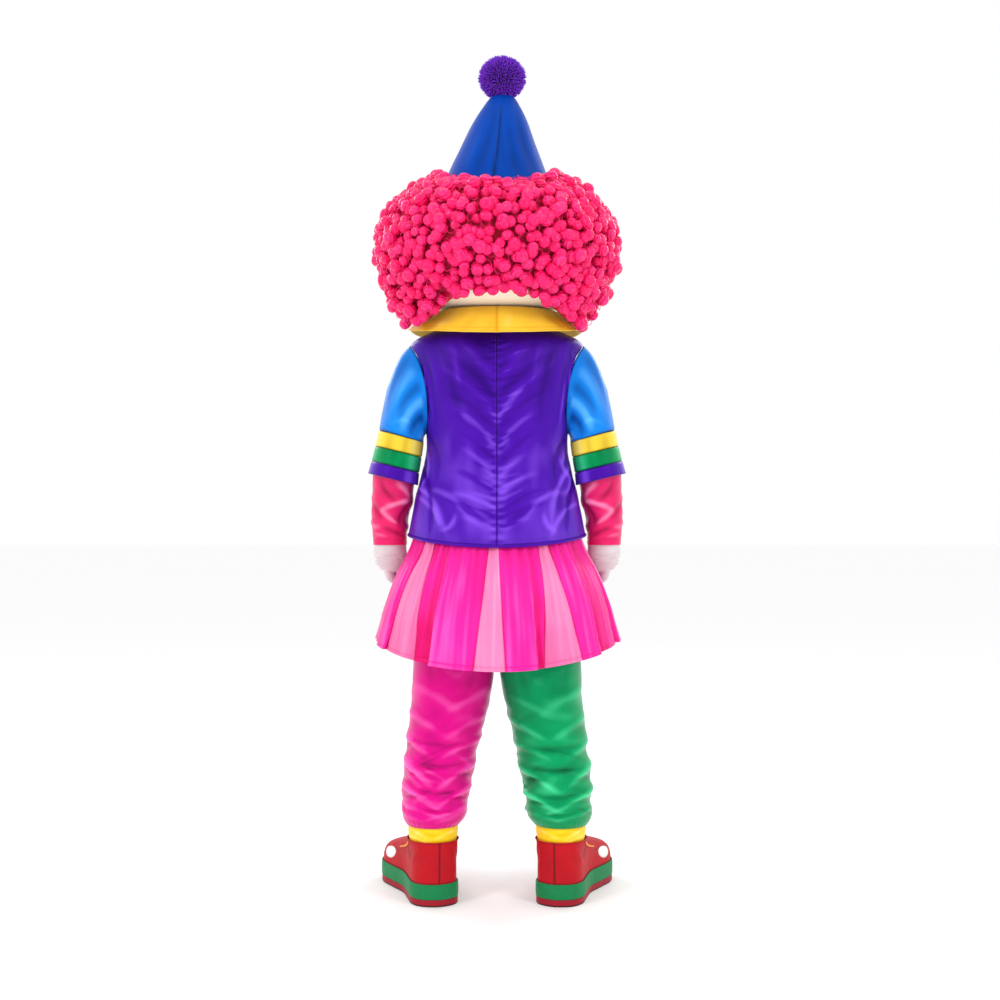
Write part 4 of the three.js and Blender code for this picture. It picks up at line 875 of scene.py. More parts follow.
def binding_surface(u, v):
    angle = 360 * u
    (x, y, z), _ = torso_surface(angle, 0, crisp=False)
    out = Vector((x, y, 0)).normalized()
    turn = math.radians(360 * v)
    radius = 4.0 + 0.25 * math.sin(260 * math.pi * u)
    spot = Vector((x, y, z - 4.0)) + out * (radius * math.sin(turn) - 0.6)
    spot.z -= radius * math.cos(turn)
    # Painted shade round the top of the roll, where it tucks under the vest's edge.
    return tuple(spot), -0.5 * bell(v, 0.5, 0.2)


shape = bend_cloth(binding_surface, 300, 10, (1.3, 0.022), closed=True)
add_piece("vest_hem_roll", shape, vest_satin, "vest_purple_satin", "vest_hem_binding")

# Collar: yellow satin cut double over interfacing, a stand that rolls over into a wide fall. Twin
# rows of topstitching run along its edge, which stands off the shoulders and curls at the sides.

COLLAR_ROWS = [  # height, half-width, half-depth
    (1409, 102, 82), (1428, 103.5, 84), (1443, 109, 88), (1450, 124, 98), (1445, 150, 114),
    (1428, 184, 132), (1411, 210, 146), (1397, 222, 156),
]
COLLAR_CREASES = [  # mm from the centre back, share up the collar in mm from the edge; size, width, bow
    (-40, 50, -10, 12, 1.8, 10, 3), (30, 60, 70, 10, -1.8, 12, -3), (110, 55, 140, 12, 2.0, 13, 4),
    (-120, 58, -150, 12, -1.8, 12, 4), (190, 50, 230, 10, -2.2, 13, 0), (-200, 52, -240, 8, 2.0, 13, 0),
    (300, 50, 320, 8, 2.2, 14, 0), (-310, 50, -330, 8, -2.2, 14, 0), (4, 62, 10, 20, -1.2, 5, 0),
]
collar_satin = woven_satin("interfaced_yellow_satin", "#f3c93a", "#d2930f", "#ffe478", roughness=0.4, sheen=0.12)


COLLAR_CUT = 118  # mm from the edge to the neck
TOPSTITCH_ROWS = (6.5, 13)  # mm from the edge
COLLAR_OPENING = 7.2  # degrees on each side of the centre front
COLLAR_MM_PER_DEGREE = 3.2


def collar_surface(u, v):
    turn = math.radians(mix(-90 + COLLAR_OPENING, 270 - COLLAR_OPENING, u))
    row = 1 - v
    from_back = round_from_back(math.degrees(turn))
    height, half_width, half_depth = read(COLLAR_ROWS, row)
    fall = ease(0.45, 1, row)
    level = math.sin(turn) ** 2
    front = bell(abs(turn - math.pi / 2), math.pi, 0.3)
    across, up = from_back * COLLAR_MM_PER_DEGREE, COLLAR_CUT * v
    fold = crease_depth(COLLAR_CREASES, across, up) * fall + 1.1 * ripple(across, up, 70, 60, 2.0) * fall
    fold -= 0.9 * sum(bell(up, stitched, 1.3) for stitched in TOPSTITCH_ROWS)
    edge = 1.5 * bell(up, 0, 4)
    seam = 0.9 * bell(across, 0, 1.6)
    curl = 7 * bell(abs(from_back), 96, 16) * ease(0.84, 1, row)
    x = (half_width - 0.6 * curl) * math.cos(turn)
    y = half_depth * math.sin(turn)
    z = height - 16 * level * fall + 8 * front * fall + fold + edge - seam + curl
    # Painted shade in the centre-back seam, the topstitched grooves and the creases' troughs; painted highlight on
    # their crests.
    return (x, y, z), fold / 3 - 0.8 * seam


shape = bend_cloth(collar_surface, 180, 44, (1.05, 0.118))
collar = add_piece("collar_satin", shape, collar_satin, "collar_yellow_satin", "collar", wall=2.4)
yellow_thread = polyester_thread("yellow_polyester_thread", "#d9900a")
for i, up in enumerate(TOPSTITCH_ROWS):
    points = [collar_surface(mix(0.01, 0.99, k / 240), up / COLLAR_CUT)[0] for k in range(241)]
    stitch_line(f"collar_topstitch_{i + 1}", points, yellow_thread, "collar_yellow_satin")

# Sleeves: short blue satin sleeves eased into the armholes, with three satin bands sewn on below.
# Deep folds hang from the armhole on the body's side, and the bands' seams show as dark lines of painted shade.

SLEEVE_RINGS = [  # outer x, outer height, inner x, inner height, half-depth
    (316, 1050, 194, 1021, 80), (307, 1081, 191, 1052, 78), (298, 1117, 185, 1090, 76), (290, 1155, 180, 1126, 74),
]
# Across is degrees round the sleeve from its outer side (90 is behind), then mm up from the bands.
SLEEVE_CREASES = [
    (128, 190, 116, 20, -6.5, 11, 6), (106, 200, 92, 10, 5.0, 10, 6), (80, 190, 70, 30, -3.6, 10, 0),
    (150, 120, 140, 0, 4.0, 9, 0), (60, 200, 52, 20, 3.0, 12, 0), (34, 190, 40, 40, -2.4, 12, 0),
    (170, 60, 150, 10, -4.0, 9, 0), (-20, 180, -10, 40, -2.6, 14, 0), (-60, 190, -54, 20, 3.2, 12, 0),
    (-95, 190, -86, 20, -4.4, 11, 4), (-126, 170, -118, 10, 4.4, 10, 4), (-155, 100, -146, 0, -4.0, 10, 0),
    (100, 60, 60, 8, 2.4, 7, 5), (10, 80, -30, 12, 1.8, 8, 4), (-80, 60, -110, 6, 2.4, 8, -4),
]
MIRROR = Matrix.Diagonal((-1, 1, 1, 1))


def sleeve_ring(turn, place):
    outer_x, outer_z, inner_x, inner_z, half_depth = read(SLEEVE_RINGS, place)
    share = (1 + math.cos(turn)) / 2
    return Vector((mix(inner_x, outer_x, share), half_depth * math.sin(turn), mix(inner_z, outer_z, share)))


def armhole_point(turn):
    y = ARMHOLE_HALF_DEPTH * math.sin(turn)
    height = ARMHOLE_HEIGHT + ARMHOLE_HALF_HEIGHT * math.cos(turn)
    _, half_width, half_depth = read(TORSO_ROWS, place_of(TORSO_ROWS, height))
    return Vector((half_width * math.sqrt(1 - (y / half_depth) ** 2) + 0.8, y, height))


def sleeve_base(turn, t):
    """The sleeve from the armhole, t = 0, to the first band, t = 1."""
    armhole, ring = armhole_point(turn), sleeve_ring(turn, 1)
    crown, armpit = ((1 + math.cos(turn)) / 2) ** 1.5, ((1 - math.cos(turn)) / 2) ** 3
    bend = armhole.lerp(ring, 0.5) + Vector((13 * crown + 5 * armpit, 12 * math.sin(turn), 70 * crown))
    return armhole * (1 - t) ** 2 + bend * (2 * t * (1 - t)) + ring * t * t


def sleeve_outward(turn):
    return Vector((math.cos(turn), math.sin(turn), 0))


ARMPIT_LENGTH, CROWN_LENGTH = 60, 215  # mm from the bands up to the armhole


def sleeve_surface(u, v):
    turn = math.radians(360 * u)
    round_it = (360 * u + 180) % 360 - 180
    t = 1 - v * 0.994 - 0.003
    spot = sleeve_base(turn, t)
    length = mix(ARMPIT_LENGTH, CROWN_LENGTH, (1 + math.cos(turn)) / 2)
    up, scale = (1 - t) * length, length / CROWN_LENGTH
    fold = crease_depth(SLEEVE_CREASES, round_it, up / max(scale, 0.35)) * ease(0, 0.25, t) * mix(0.45, 1, scale)
    fold += 1.5 * ripple(round_it * 1.4, up, 45, 90, 12.0) * ease(0, 0.2, t)
    fold *= ease(1.02, 0.86, t)
    spot += sleeve_outward(turn) * (fold - 1.6 * bell(t, 1.0, 0.012) + 1.2 * bell(t, 0.03, 0.02))
    # Painted shade where the sleeve meets the first band and at the armhole, and in the creases' troughs; painted
    # highlight on their crests.
    return tuple(spot), fold / 5.5 - 0.8 * bell(t, 1.0, 0.02) - 0.7 * bell(t, 0, 0.03)


BANDS = [  # colour, slot, place of its lower and upper edge
    ("purple", "vest_purple_satin", 0, 1), ("green", "band_green_satin", 1, 2), ("yellow", "band_yellow_satin", 2, 3),
]


def band_surface(low, high):
    def surface(u, v):
        turn = math.radians(360 * u)
        edge = min(v, 1 - v)
        place = mix(low + 0.006, high - 0.006, v) / 3
        round_it = 360 * u
        fold = 1.3 * math.sin(math.radians(3 * round_it + 40)) + 1.2 * ripple(round_it, v * 30, 26, 60, 20 + low)
        fold += 1.0 * bell(round_it, 132, 9) - 1.2 * bell(round_it, 108, 8)
        spot = sleeve_ring(turn, place) + sleeve_outward(turn) * (fold * 0.55 - 1.5 * bell(edge, 0, 0.035) + 0.5)
        # Painted shade along each band's edges, in the seams between bands.
        return tuple(spot), fold / 3 - 1.2 * bell(edge, 0, 0.05)
    return surface


blue_satin = woven_satin("sleeve_blue_satin", "#157fdf", "#05307e", "#5cb4ff", roughness=0.34, sheen=0.12)
green_satin = woven_satin("green_satin", "#069252", "#04502c", "#42d08c", roughness=0.36)
yellow_band_satin = woven_satin("yellow_band_satin", "#efd040", "#b18e14", "#fff07a", roughness=0.36)
band_finish = {"purple": vest_satin, "green": green_satin, "yellow": yellow_band_satin}


def on_side(shape, side):
    """Leaves the shape on the wearer's left, or mirrors it to the right with its faces outwards."""
    if side < 0:
        bmesh.ops.transform(shape, matrix=MIRROR, verts=shape.verts)
        bmesh.ops.reverse_faces(shape, faces=shape.faces)
    return shape


for side, word in SIDES:
    shape = on_side(bend_cloth(sleeve_surface, 84, 42, (0.5, 0.2), closed=True), side)
    sleeve = add_piece(f"sleeve_satin_{word}", shape, blue_satin, "sleeve_blue_satin", f"sleeve_{word}", wall=1.5)
    for colour_word, slot, low, high in BANDS:
        shape = on_side(bend_cloth(band_surface(low, high), 84, 10, (0.5, 0.037), closed=True), side)
        band = add_piece(f"band_satin_{colour_word}_{word}", shape, band_finish[colour_word], slot,
                         f"band_{colour_word}_{word}", wall=1.6)
        extras = []
        if colour_word == "purple":
            for i, place in enumerate((0.055, 0.10)):
                points = [band_surface(0, 1)(k / 120, place)[0] for k in range(121)]
                points = [(side * x, y, z) for x, y, z in points]
                extras.append(stitch_line(f"band_hem_stitches_{i + 1}_{word}", points, purple_thread, slot))

# Undersleeves: pink wet-look knit tubes sewn inside the short sleeves, close at the wrist. They bag
# at the elbow into a three-cornered fold, and a narrow hem is turned up and stitched at the wrist.

UNDERSLEEVE_ROWS = [  # height, centre x, centre y, half-width, half-depth
    (874, 266, -44, 42, 43), (886, 266, -42, 42.5, 43), (905, 267, -39, 43, 44), (925, 265, -35, 46, 48),
    (950, 267, -30, 45, 49), (985, 258, -22, 50, 54), (1020, 257, -14, 51, 58), (1062, 250, -6, 54, 68),
]
UNDERSLEEVE_HEM = 888  # height of the stitches that hold the turned-up hem
UNDERSLEEVE_CREASES = [  # degrees round from the outer side (90 is behind), height; size, width, bow
    (150, 990, 70, 958, 4.2, 7, 5), (70, 958, 120, 930, 3.6, 6, 3), (150, 990, 125, 930, -3.4, 7, 0),
    (60, 1020, 100, 985, -3.4, 8, 3), (110, 1030, 150, 1000, 3.2, 8, 0), (20, 970, 70, 940, -3.2, 7, -3),
    (-10, 930, 60, 915, 2.6, 6, 3), (80, 915, 140, 902, -2.4, 6, 0), (170, 960, 210, 930, 3.0, 8, 0),
    (-40, 1000, 20, 975, 3.2, 8, 0), (-110, 990, -50, 955, -3.2, 8, 0), (-150, 960, -90, 930, 3.2, 7, 0),
    (-120, 1020, -60, 1000, 2.6, 8, 0), (200, 1010, 250, 985, 2.6, 8, 0), (40, 900, 90, 893, 1.6, 5, 0),
]


def undersleeve_surface(u, v):
    turn = math.radians(360 * u)
    round_it = (360 * u + 90) % 360 - 90
    height, centre_x, centre_y, half_width, half_depth = read(UNDERSLEEVE_ROWS, v)
    fold = crease_depth(UNDERSLEEVE_CREASES, round_it, height) * ease(884, 900, height) * ease(1062, 1040, height)
    fold += 1.3 * ripple(round_it, height, 40, 22, 31.0) * ease(1060, 1035, height)
    fold -= 1.2 * bell(height, UNDERSLEEVE_HEM, 1.4)
    spot = (centre_x + (half_width + fold - 0.4) * math.cos(turn),
            centre_y + (half_depth + fold - 0.4) * math.sin(turn), height + 12 * v * math.cos(turn))
    # Painted shade in the creases' troughs and along the hem's stitched groove; painted highlight on the crests.
    return spot, fold / 4


wet_look = woven_satin("pink_wet_look_knit", "#e32468", "#9c0a3e", "#ff86b2", roughness=0.28, thread=0.9, sheen=0.08)
undersleeve_thread = polyester_thread("pink_polyester_thread", "#b5124f")
for side, word in SIDES:
    shape = on_side(bend_cloth(undersleeve_surface, 62, 60, (0.3, 0.19), closed=True), side)
    undersleeve = add_piece(f"undersleeve_knit_{word}", shape, wet_look, "undersleeve_pink",
                            f"undersleeve_{word}", wall=1.2)
    points = [undersleeve_surface(k / 90, place_of(UNDERSLEEVE_ROWS, UNDERSLEEVE_HEM))[0] for k in range(91)]
    points = [(side * x, y, z) for x, y, z in points]
    row = stitch_line(f"undersleeve_hem_stitches_{word}", points, undersleeve_thread, "undersleeve_pink")

# Gloves: white cotton jersey with three fingers and a thumb, each seamed round, pulled up inside
# the sleeve. The hand hangs half closed, so the cloth creases across the palm and at the fingers.

PALM_ROWS = [  # height, centre x, centre y, half-width, half-depth
    (803, 262, -88, 0, 0), (808, 263, -87, 24, 30), (822, 266, -78, 37, 38), (846, 266, -58, 42, 39),
    (872, 266, -45, 39.5, 39.5), (896, 266, -41, 39, 39.5),
]
FINGERS = [  # start, bend and end of each, then its radius; the last is the thumb
    ((274, -62, 826), (272, -80, 776), (248, -94, 790), 12.2),
    ((276, -84, 826), (272, -102, 772), (246, -114, 788), 12.7),
    ((274, -104, 828), (268, -124, 778), (246, -134, 792), 12.2),
    ((244, -70, 850), (238, -96, 826), (240, -112, 812), 11.5),
]
GLOVE_CREASES = [  # y from the wrist's middle, then height; size, width, bow
    (-40, 846, 20, 838, -2.8, 2.8, 3), (-36, 838, 10, 830, -2.2, 2.4, -2), (-50, 818, -6, 822, -2.4, 2.4, 2),
    (-30, 872, 24, 868, -2.0, 3.0, 2), (20, 860, 34, 832, -2.0, 2.8, 0), (-70, 806, -30, 812, -2.0, 2.4, 2),
    (-34, 884, 30, 880, -1.8, 2.6, -2), (30, 884, 6, 846, 2.0, 4.0, 3), (-44, 862, -14, 834, -2.2, 2.6, -3),
]
jersey, tree = new_material("white_cotton_jersey")
place = object_place(tree)
wales = add_node(tree, "TexWave", {
    "Vector": place, "Scale": WAVE_BANDS / 0.0016, "Distortion": 1.0, "Detail": 1}, bands_direction="X")
courses = add_node(tree, "TexWave", {
    "Vector": place, "Scale": WAVE_BANDS / 0.0014, "Distortion": 1.2, "Detail": 1}, bands_direction="Z")
knit = add_node(tree, "Mix", {"Factor": 0.5, "A": wales.outputs["Fac"], "B": courses.outputs["Fac"]})
put_out(tree, blend(tree, noise_at(tree, 30, 3), "#c2b8ba", "#ddd5d6"), 0.85, (knit, 0.3, 0.0005),
        {"Sheen Weight": 0.3})
WRIST_HEIGHT = 893  # where the glove's opening is cut


def palm_surface(u, v):
    turn = math.radians(360 * u)
    height, centre_x, centre_y, half_width, half_depth = read(PALM_ROWS, min(v / 0.96, 1))
    closing = min((1 - v) / 0.04, 1)  # the form is closed at the wrist until it is drawn over
    return (centre_x + max(half_width, 0) * closing * math.cos(turn),
            centre_y + max(half_depth, 0) * closing * math.sin(turn), height), 0


for side, word in SIDES:
    shape = bend_cloth(palm_surface, 40, 25, (0.3, 0.2), closed=True)
    for start, bend, end, radius in FINGERS:
        start, bend, end = (Vector(spot) for spot in (start, bend, end))
        for k in range(15):
            # A finger is a run of overlapping balls along its bend, which the cloth is drawn over.
            t = k / 14
            spot = start * (1 - t) ** 2 + bend * (2 * t * (1 - t)) + end * t * t
            swell = radius * (1 + 0.06 * bell(t, 0.45, 0.12) - 0.05 * t)
            bmesh.ops.create_icosphere(shape, subdivisions=2, radius=swell * MM,
                                       matrix=Matrix.Translation(in_frame(spot)))
    mesh = bpy.data.meshes.new("glove_form")
    shape.to_mesh(mesh)
    shape.free()
    form = bpy.data.objects.new("glove_form", mesh)
    scene.collection.objects.link(form)
    draw_over = form.modifiers.new("draw_over", "REMESH")
    draw_over.mode, draw_over.voxel_size = "VOXEL", 0.0024
    even = form.modifiers.new("even", "SMOOTH")
    even.factor, even.iterations = 0.5, 9
    drawn = bpy.data.meshes.new_from_object(form.evaluated_get(bpy.context.evaluated_depsgraph_get()))
    bpy.data.objects.remove(form)
    shape = bmesh.new()
    shape.from_mesh(drawn)
    bmesh.ops.recalc_face_normals(shape, faces=shape.faces)
    for vert in shape.verts:
        x, y, z = vert.co / MM
        fold = crease_depth(GLOVE_CREASES, y + 50, z + SHOULDER) if x > 236 else 0
        fold += 0.9 * ripple(y * 2, z * 2, 30, 22, x / 30) * ease(900, 870, z + SHOULDER)
        vert.co += vert.normal * fold * MM
    wrist = [face for face in shape.faces if face.calc_center_median().z / MM + SHOULDER > WRIST_HEIGHT]
    bmesh.ops.delete(shape, geom=wrist, context="FACES")
    smooth(shape)
    glove = add_piece(f"glove_jersey_{word}", on_side(shape, side), jersey, "glove_white_jersey",
                      f"glove_{word}", wall=1.0)

# Skirt: sixteen satin gores, hot pink and light pink by turns, gathered into a waistband under the
# vest. Uneven gathers run down from the waist, deep flutes open at the hem, and the hem is stitched.

SKIRT_ROWS = [  # height, half-width, half-depth
    (643, 300, 262), (685, 288, 250), (724, 278, 238), (771, 261, 214), (818, 239, 186), (867, 213, 152),
    (915, 198, 139.5),
]
# The gores' edges in degrees from +X, at the hem and at the waist: the light gores, which come first
# and then every second time, are folded narrow at the waist.
GORE_EDGES = [
    (79.4, 85.6), (93.9, 90.6), (112, 119.2), (132, 125.3), (178, 168), (194, 182), (216, 218), (234, 227),
    (256, 262), (274, 270), (296, 304), (316, 312), (340, 346), (358, 352), (386.3, 393.3), (408.7, 403.5),
    (439.4, 445.6),
]
# Degrees from the centre back, positive to the left; mm; how far the cloth ramps; which side laps over.
KNIFE_FOLDS = [
    (31.7, 21, 16, -1), (-18.6, 16, 14, 1), (-55.3, 15, 12, 1), (64, 9, 8, 1), (74, 10, 10, -1), (98, 14, 14, 1),
    (121, 16, 14, -1), (146, 12, 12, 1), (169, 14, 14, -1), (-80, 12, 12, -1), (-101, 14, 14, 1),
    (-123, 12, 12, -1), (-149, 16, 14, 1), (-172, 11, 12, -1),
]
gathers = []  # degrees from the centre back, size in mm, how far down it runs, width in degrees
at = -180.0
while at < 178:
    at += chance.uniform(5.2, 9.5)
    gathers.append((at, chance.uniform(3.4, 6.6), chance.uniform(0.16, 0.6), chance.uniform(1.2, 2.1)))


HEM_STITCHES = 0.036  # place up the skirt of the row that holds the turned-up hem


def apart(a, b):
    """How many degrees a is past b, the shorter way round."""
    return (a - b + 180) % 360 - 180


def skirt_surface(angle, v):
    turn = math.radians(angle)
    from_back = round_from_back(angle)
    back, front = max(math.sin(turn), 0) ** 1.6, max(-math.sin(turn), 0) ** 1.6
    below = 1 - v
    drop = (52 * back + 30 * front) * below ** 1.5
    fold = 0.0
    for at, size, run, width in gathers:
        off = apart(from_back, at)
        if abs(off) < 8 * width:
            fold += size * bell(off, 0, width * mix(1, 2.2, below)) * ease(run + 0.12, 0.0, below)
    fold -= 1.4 * ease(0.3, 0, below)
    for at, size, ramp, side in KNIFE_FOLDS:
        off = apart(from_back, at) * side
        if abs(off) < 4 * ramp:
            # One side laps over the other, which lies in its shade.
            lapped = ease(-0.5, 0.3, off)
            over, under = math.exp(-abs(off) / ramp), math.exp(-abs(off) / (0.7 * ramp))
            fold += size * below ** 0.9 * mix(-0.65 * under, 0.35 * over, lapped)
    fold += 2.4 * bell(from_back, 22, 4) * below - 3.0 * bell(from_back, 11.5, 5) * below
    height, half_width, half_depth = read(SKIRT_ROWS, v)
    fold += 2.2 * ripple(from_back * 3.2, height, 46, 150, 44.0) * ease(0, 0.2, below)
    fold += 0.8 * ripple(from_back * 4, height, 18, 46, 45.0)
    # Long streaks that ripple the cloth and are also painted lighter and darker as satin sheen.
    streak = ripple(from_back * 5, height, 11, 150, 46.0)
    fold += 1.3 * streak
    fold = min(fold, 9 if v < 0.9 else 5) - 1.1 * bell(v, HEM_STITCHES, 0.006)
    seam = min(abs(apart(angle, mix(hem, waist, v))) for hem, waist in GORE_EDGES)
    turned_in = 1.4 * bell(seam, 0, 0.35) + 0.6 * math.sin(height / 2.2) * bell(seam, 0.8, 0.8)
    x = (half_width + fold - turned_in) * math.cos(turn)
    y = (half_depth + fold - turned_in) * math.sin(turn)
    # The hem is turned up and sewn: painted shade darkens the row that holds it, the gores' seams and the top, which
    # lies in the vest's shade, and the streaks are painted lighter and darker as satin sheen.
    shade = 0.45 * bell(v, HEM_STITCHES, 0.006) + 0.4 * ease(0.6, 0.86, v) + 0.5 * bell(seam, 0, 0.3)
    return (x, y, height - drop), min(fold / 8, 0.05 + fold / 26) + 0.45 * streak - shade


hot_satin = woven_satin("hot_pink_satin", "#f2259c", "#d0005a", "#ff70d0", roughness=0.34)
light_satin = woven_satin("light_pink_satin", "#f27fb2", "#e04c8a", "#ffc0de", roughness=0.36)
HEM_RADIUS, WAIST_RADIUS, GORE_HALF_LENGTH = 0.29, 0.21, 0.165  # metres, as the gores are cut
STEP = 0.8  # degrees
for i, ((hem_start, waist_start), (hem_end, waist_end)) in enumerate(zip(GORE_EDGES, GORE_EDGES[1:])):

    def gore_surface(u, v):
        # Rows are closer together near the hem.
        v = v ** 1.3
        return skirt_surface(mix(mix(hem_start, waist_start, v), mix(hem_end, waist_end, v), u), v)

    light = i % 2 == 0
    slot = "skirt_light_pink_satin" if light else "skirt_hot_pink_satin"
    steps = round((hem_end - hem_start) / STEP)
    hem_width = math.radians(hem_end - hem_start) * HEM_RADIUS
    gore = add_piece(f"gore_satin_{i + 1:02d}", bend_cloth(gore_surface, steps, 48, (hem_width, 0.32)),
                     light_satin if light else hot_satin, slot, f"skirt_gore_{i + 1:02d}", wall=1.1)
    row = hem_stitches(f"gore_hem_stitches_{i + 1:02d}", 0.034,
                       (mix(hem_start, waist_start, 0.034) + 0.2, mix(hem_end, waist_end, 0.034) - 0.2),
                       skirt_surface, undersleeve_thread, slot, 2 * steps)


def waistband_surface(u, v):
    turn = math.radians(360 * u)
    puff = 1.0 * math.sin(math.pi * v) + 0.8 * ripple(360 * u, 20 * v, 8, 30, 51.0)
    x = (198 - 6 * v + puff) * math.cos(turn)
    return (x, (139.5 - 6 * v + puff) * math.sin(turn), mix(915.6, 960, v)), puff / 4


shape = bend_cloth(waistband_surface, 140, 8, (1.08, 0.045), closed=True)
waistband = add_piece("waistband_satin", shape, hot_satin, "skirt_hot_pink_satin", "skirt_waistband", wall=1.6)

# Trousers: baggy satin, the left leg pink and the right leg green, each with a back and a front
# panel. They are too long, so they slouch above the ankle in crossing folds, gathered by elastic.

LEG_ROWS = [  # height, centre x, centre y, half-width, half-depth, how far it is part of the hip
    (190, 157, 2, 64, 66, 0), (206, 155, 2, 76, 78, 0), (226, 152, 2, 82, 84, 0), (250, 150, 2, 79, 84, 0),
    (276, 150, 2, 85, 88, 0), (302, 147, 2, 83, 87, 0), (330, 142, 2, 88, 92, 0), (362, 137, 2, 86, 92, 0),
    (400, 131, 2, 90, 96, 0), (450, 122, 2, 92, 100, 0), (510, 112, 2, 97, 104, 0), (580, 106, 2, 100, 108, 0),
    (650, 104, 2, 101, 112, 0.15), (730, 102, 2, 101, 118, 0.7), (820, 100, 1, 100, 124, 1),
    (958, 95, 0, 95, 130.9, 1),
]
HIP_HALF_WIDTH = 189.4
LEG_MM_PER_DEGREE = 1.5
# Mm round the leg from its centre back, positive to the outer side, then height; size, width, bow.
LEG_CREASES = [
    (118, 412, 22, 368, 6.5, 9, 5), (-118, 404, -18, 376, 6, 9, -5), (-66, 350, 58, 346, -6, 9, 4),
    (118, 356, 14, 300, 7.5, 10, 7), (-118, 348, -12, 296, 7, 10, -7), (40, 322, 112, 318, -5.5, 7, -4),
    (-44, 322, -112, 312, -5.5, 7, 4), (-52, 280, 60, 288, -6.5, 8, 4), (118, 296, 8, 256, 6.5, 8, 6),
    (-118, 288, -14, 250, 6.5, 8, -6), (30, 268, 104, 262, -4.5, 6, -3), (-34, 266, -104, 258, -4.5, 6, 3),
    (-58, 236, 52, 240, -5, 6, 3), (104, 246, -16, 222, 4.5, 6, 4), (-104, 240, 8, 218, 4, 6, -4),
    (110, 470, 6, 424, 5.5, 11, 6), (-110, 462, -14, 420, 5, 11, -6), (-70, 398, 60, 402, -4.5, 9, 3),
    (100, 540, -10, 488, 4.5, 13, 8), (-100, 528, 4, 476, 4.5, 13, -8), (70, 600, -20, 560, 3.5, 14, 6),
    (-84, 610, 0, 552, 3.5, 14, -6), (60, 640, 40, 540, -3, 12, 0), (-60, 640, -36, 530, -3, 12, 0),
    # the front and the sides
    (150, 410, 246, 366, 6, 10, 6), (-150, 402, -240, 362, 6, 10, -6), (160, 352, 262, 300, 6.5, 10, 6),
    (-160, 346, -258, 296, 6.5, 10, -6), (190, 330, 262, 340, -5.5, 8, 3), (-190, 324, -262, 334, -5.5, 8, -3),
    (150, 292, 250, 252, 6, 8, 5), (-150, 286, -250, 250, 6, 8, -5), (170, 268, 258, 276, -5, 7, 3),
    (-170, 262, -258, 270, -5, 7, -3), (160, 240, 254, 222, 4, 6, 3), (-160, 236, -254, 220, 4, 6, -3),
    (150, 480, 250, 430, 4.5, 12, 6), (-150, 470, -250, 424, 4.5, 12, -6), (170, 560, 256, 500, 4, 14, 6),
    (-170, 552, -256, 494, 4, 14, -6), (134, 380, 140, 330, -4, 8, 0), (-134, 376, -138, 324, -4, 8, 0),
    (130, 310, 136, 270, -3.5, 7, 0), (-130, 306, -134, 264, -3.5, 7, 0),
]
# The other leg's folds lie a little lower and differ in size.
RIGHT_LEG_CREASES = [
    (x0 * 0.96 + 5, z0 - 13, x1 * 1.05 + 4, z1 - 10, size * (0.8 + 0.45 * ((3 * i) % 7) / 7),
     width * 1.05, 0.7 * bow)
    for i, (x0, z0, x1, z1, size, width, bow) in enumerate(LEG_CREASES)]


def crossing_creases(creases):
    """Thins the slouch's folds and crosses them with thin short ones, which pull both ways."""
    finer = [(x0, z0, x1, z1, 0.85 * size, 0.78 * width, bow) for x0, z0, x1, z1, size, width, bow in creases]
    for k in range(26):
        across, height = chance.uniform(-270, 270), 222 + 230 * chance.random() ** 1.4
        reach, slope = chance.uniform(24, 60), chance.uniform(0.2, 0.6) * chance.choice((1, -1))
        finer.append((across - reach, height - slope * reach, across + reach, height + slope * reach,
                      chance.uniform(1.8, 3.4) * chance.choice((1, 1, -1)), chance.uniform(3.6, 6.0),
                      chance.uniform(-5, 5)))
    return finer


def leg_surface(angle, v, creases, seed):
    turn = math.radians(angle)
    height, centre_x, centre_y, half_width, half_depth, hip = read(LEG_ROWS, v)
    hip = min(max(hip, 0), 1)
    from_back = round_from_back(angle)
    across = from_back * LEG_MM_PER_DEGREE
    slouch = ease(700, 430, height) * ease(196, 216, height)
    fold = crease_depth(creases, across, height) * (0.35 + 0.65 * slouch)
    fold += 3.2 * ripple(across, height, 52, 30, seed) * slouch + 2.0 * ripple(across, height, 70, 90, seed + 1)
    # Elastic gathers the ankle into small pleats.
    pleat = math.sin(math.radians(31 * angle) + 2.0 * ripple(angle, 0, 30, 10, seed + 2))
    fold += 0.6 * pleat * ease(216, 198, height)
    # The side seams lie at the leg's outer and inner edge, and a thin line of painted shade runs along each.
    seam = abs(abs(from_back) - 90)
    fold *= ease(955, 900, height)
    reach_x, reach_y = half_width + fold, half_depth + fold
    leg_x, leg_y = centre_x + reach_x * math.cos(turn), centre_y + reach_y * math.sin(turn)
    hip_turn = turn / 2 if turn <= math.pi else (turn + 2 * math.pi) / 2
    hip_x, hip_y = HIP_HALF_WIDTH * math.cos(hip_turn), half_depth * math.sin(hip_turn)
    x = max(mix(leg_x, hip_x, hip), 0.3)
    return (x, mix(leg_y, hip_y, hip), height), fold / 7.5 - 0.5 * bell(seam, 0, 0.6)


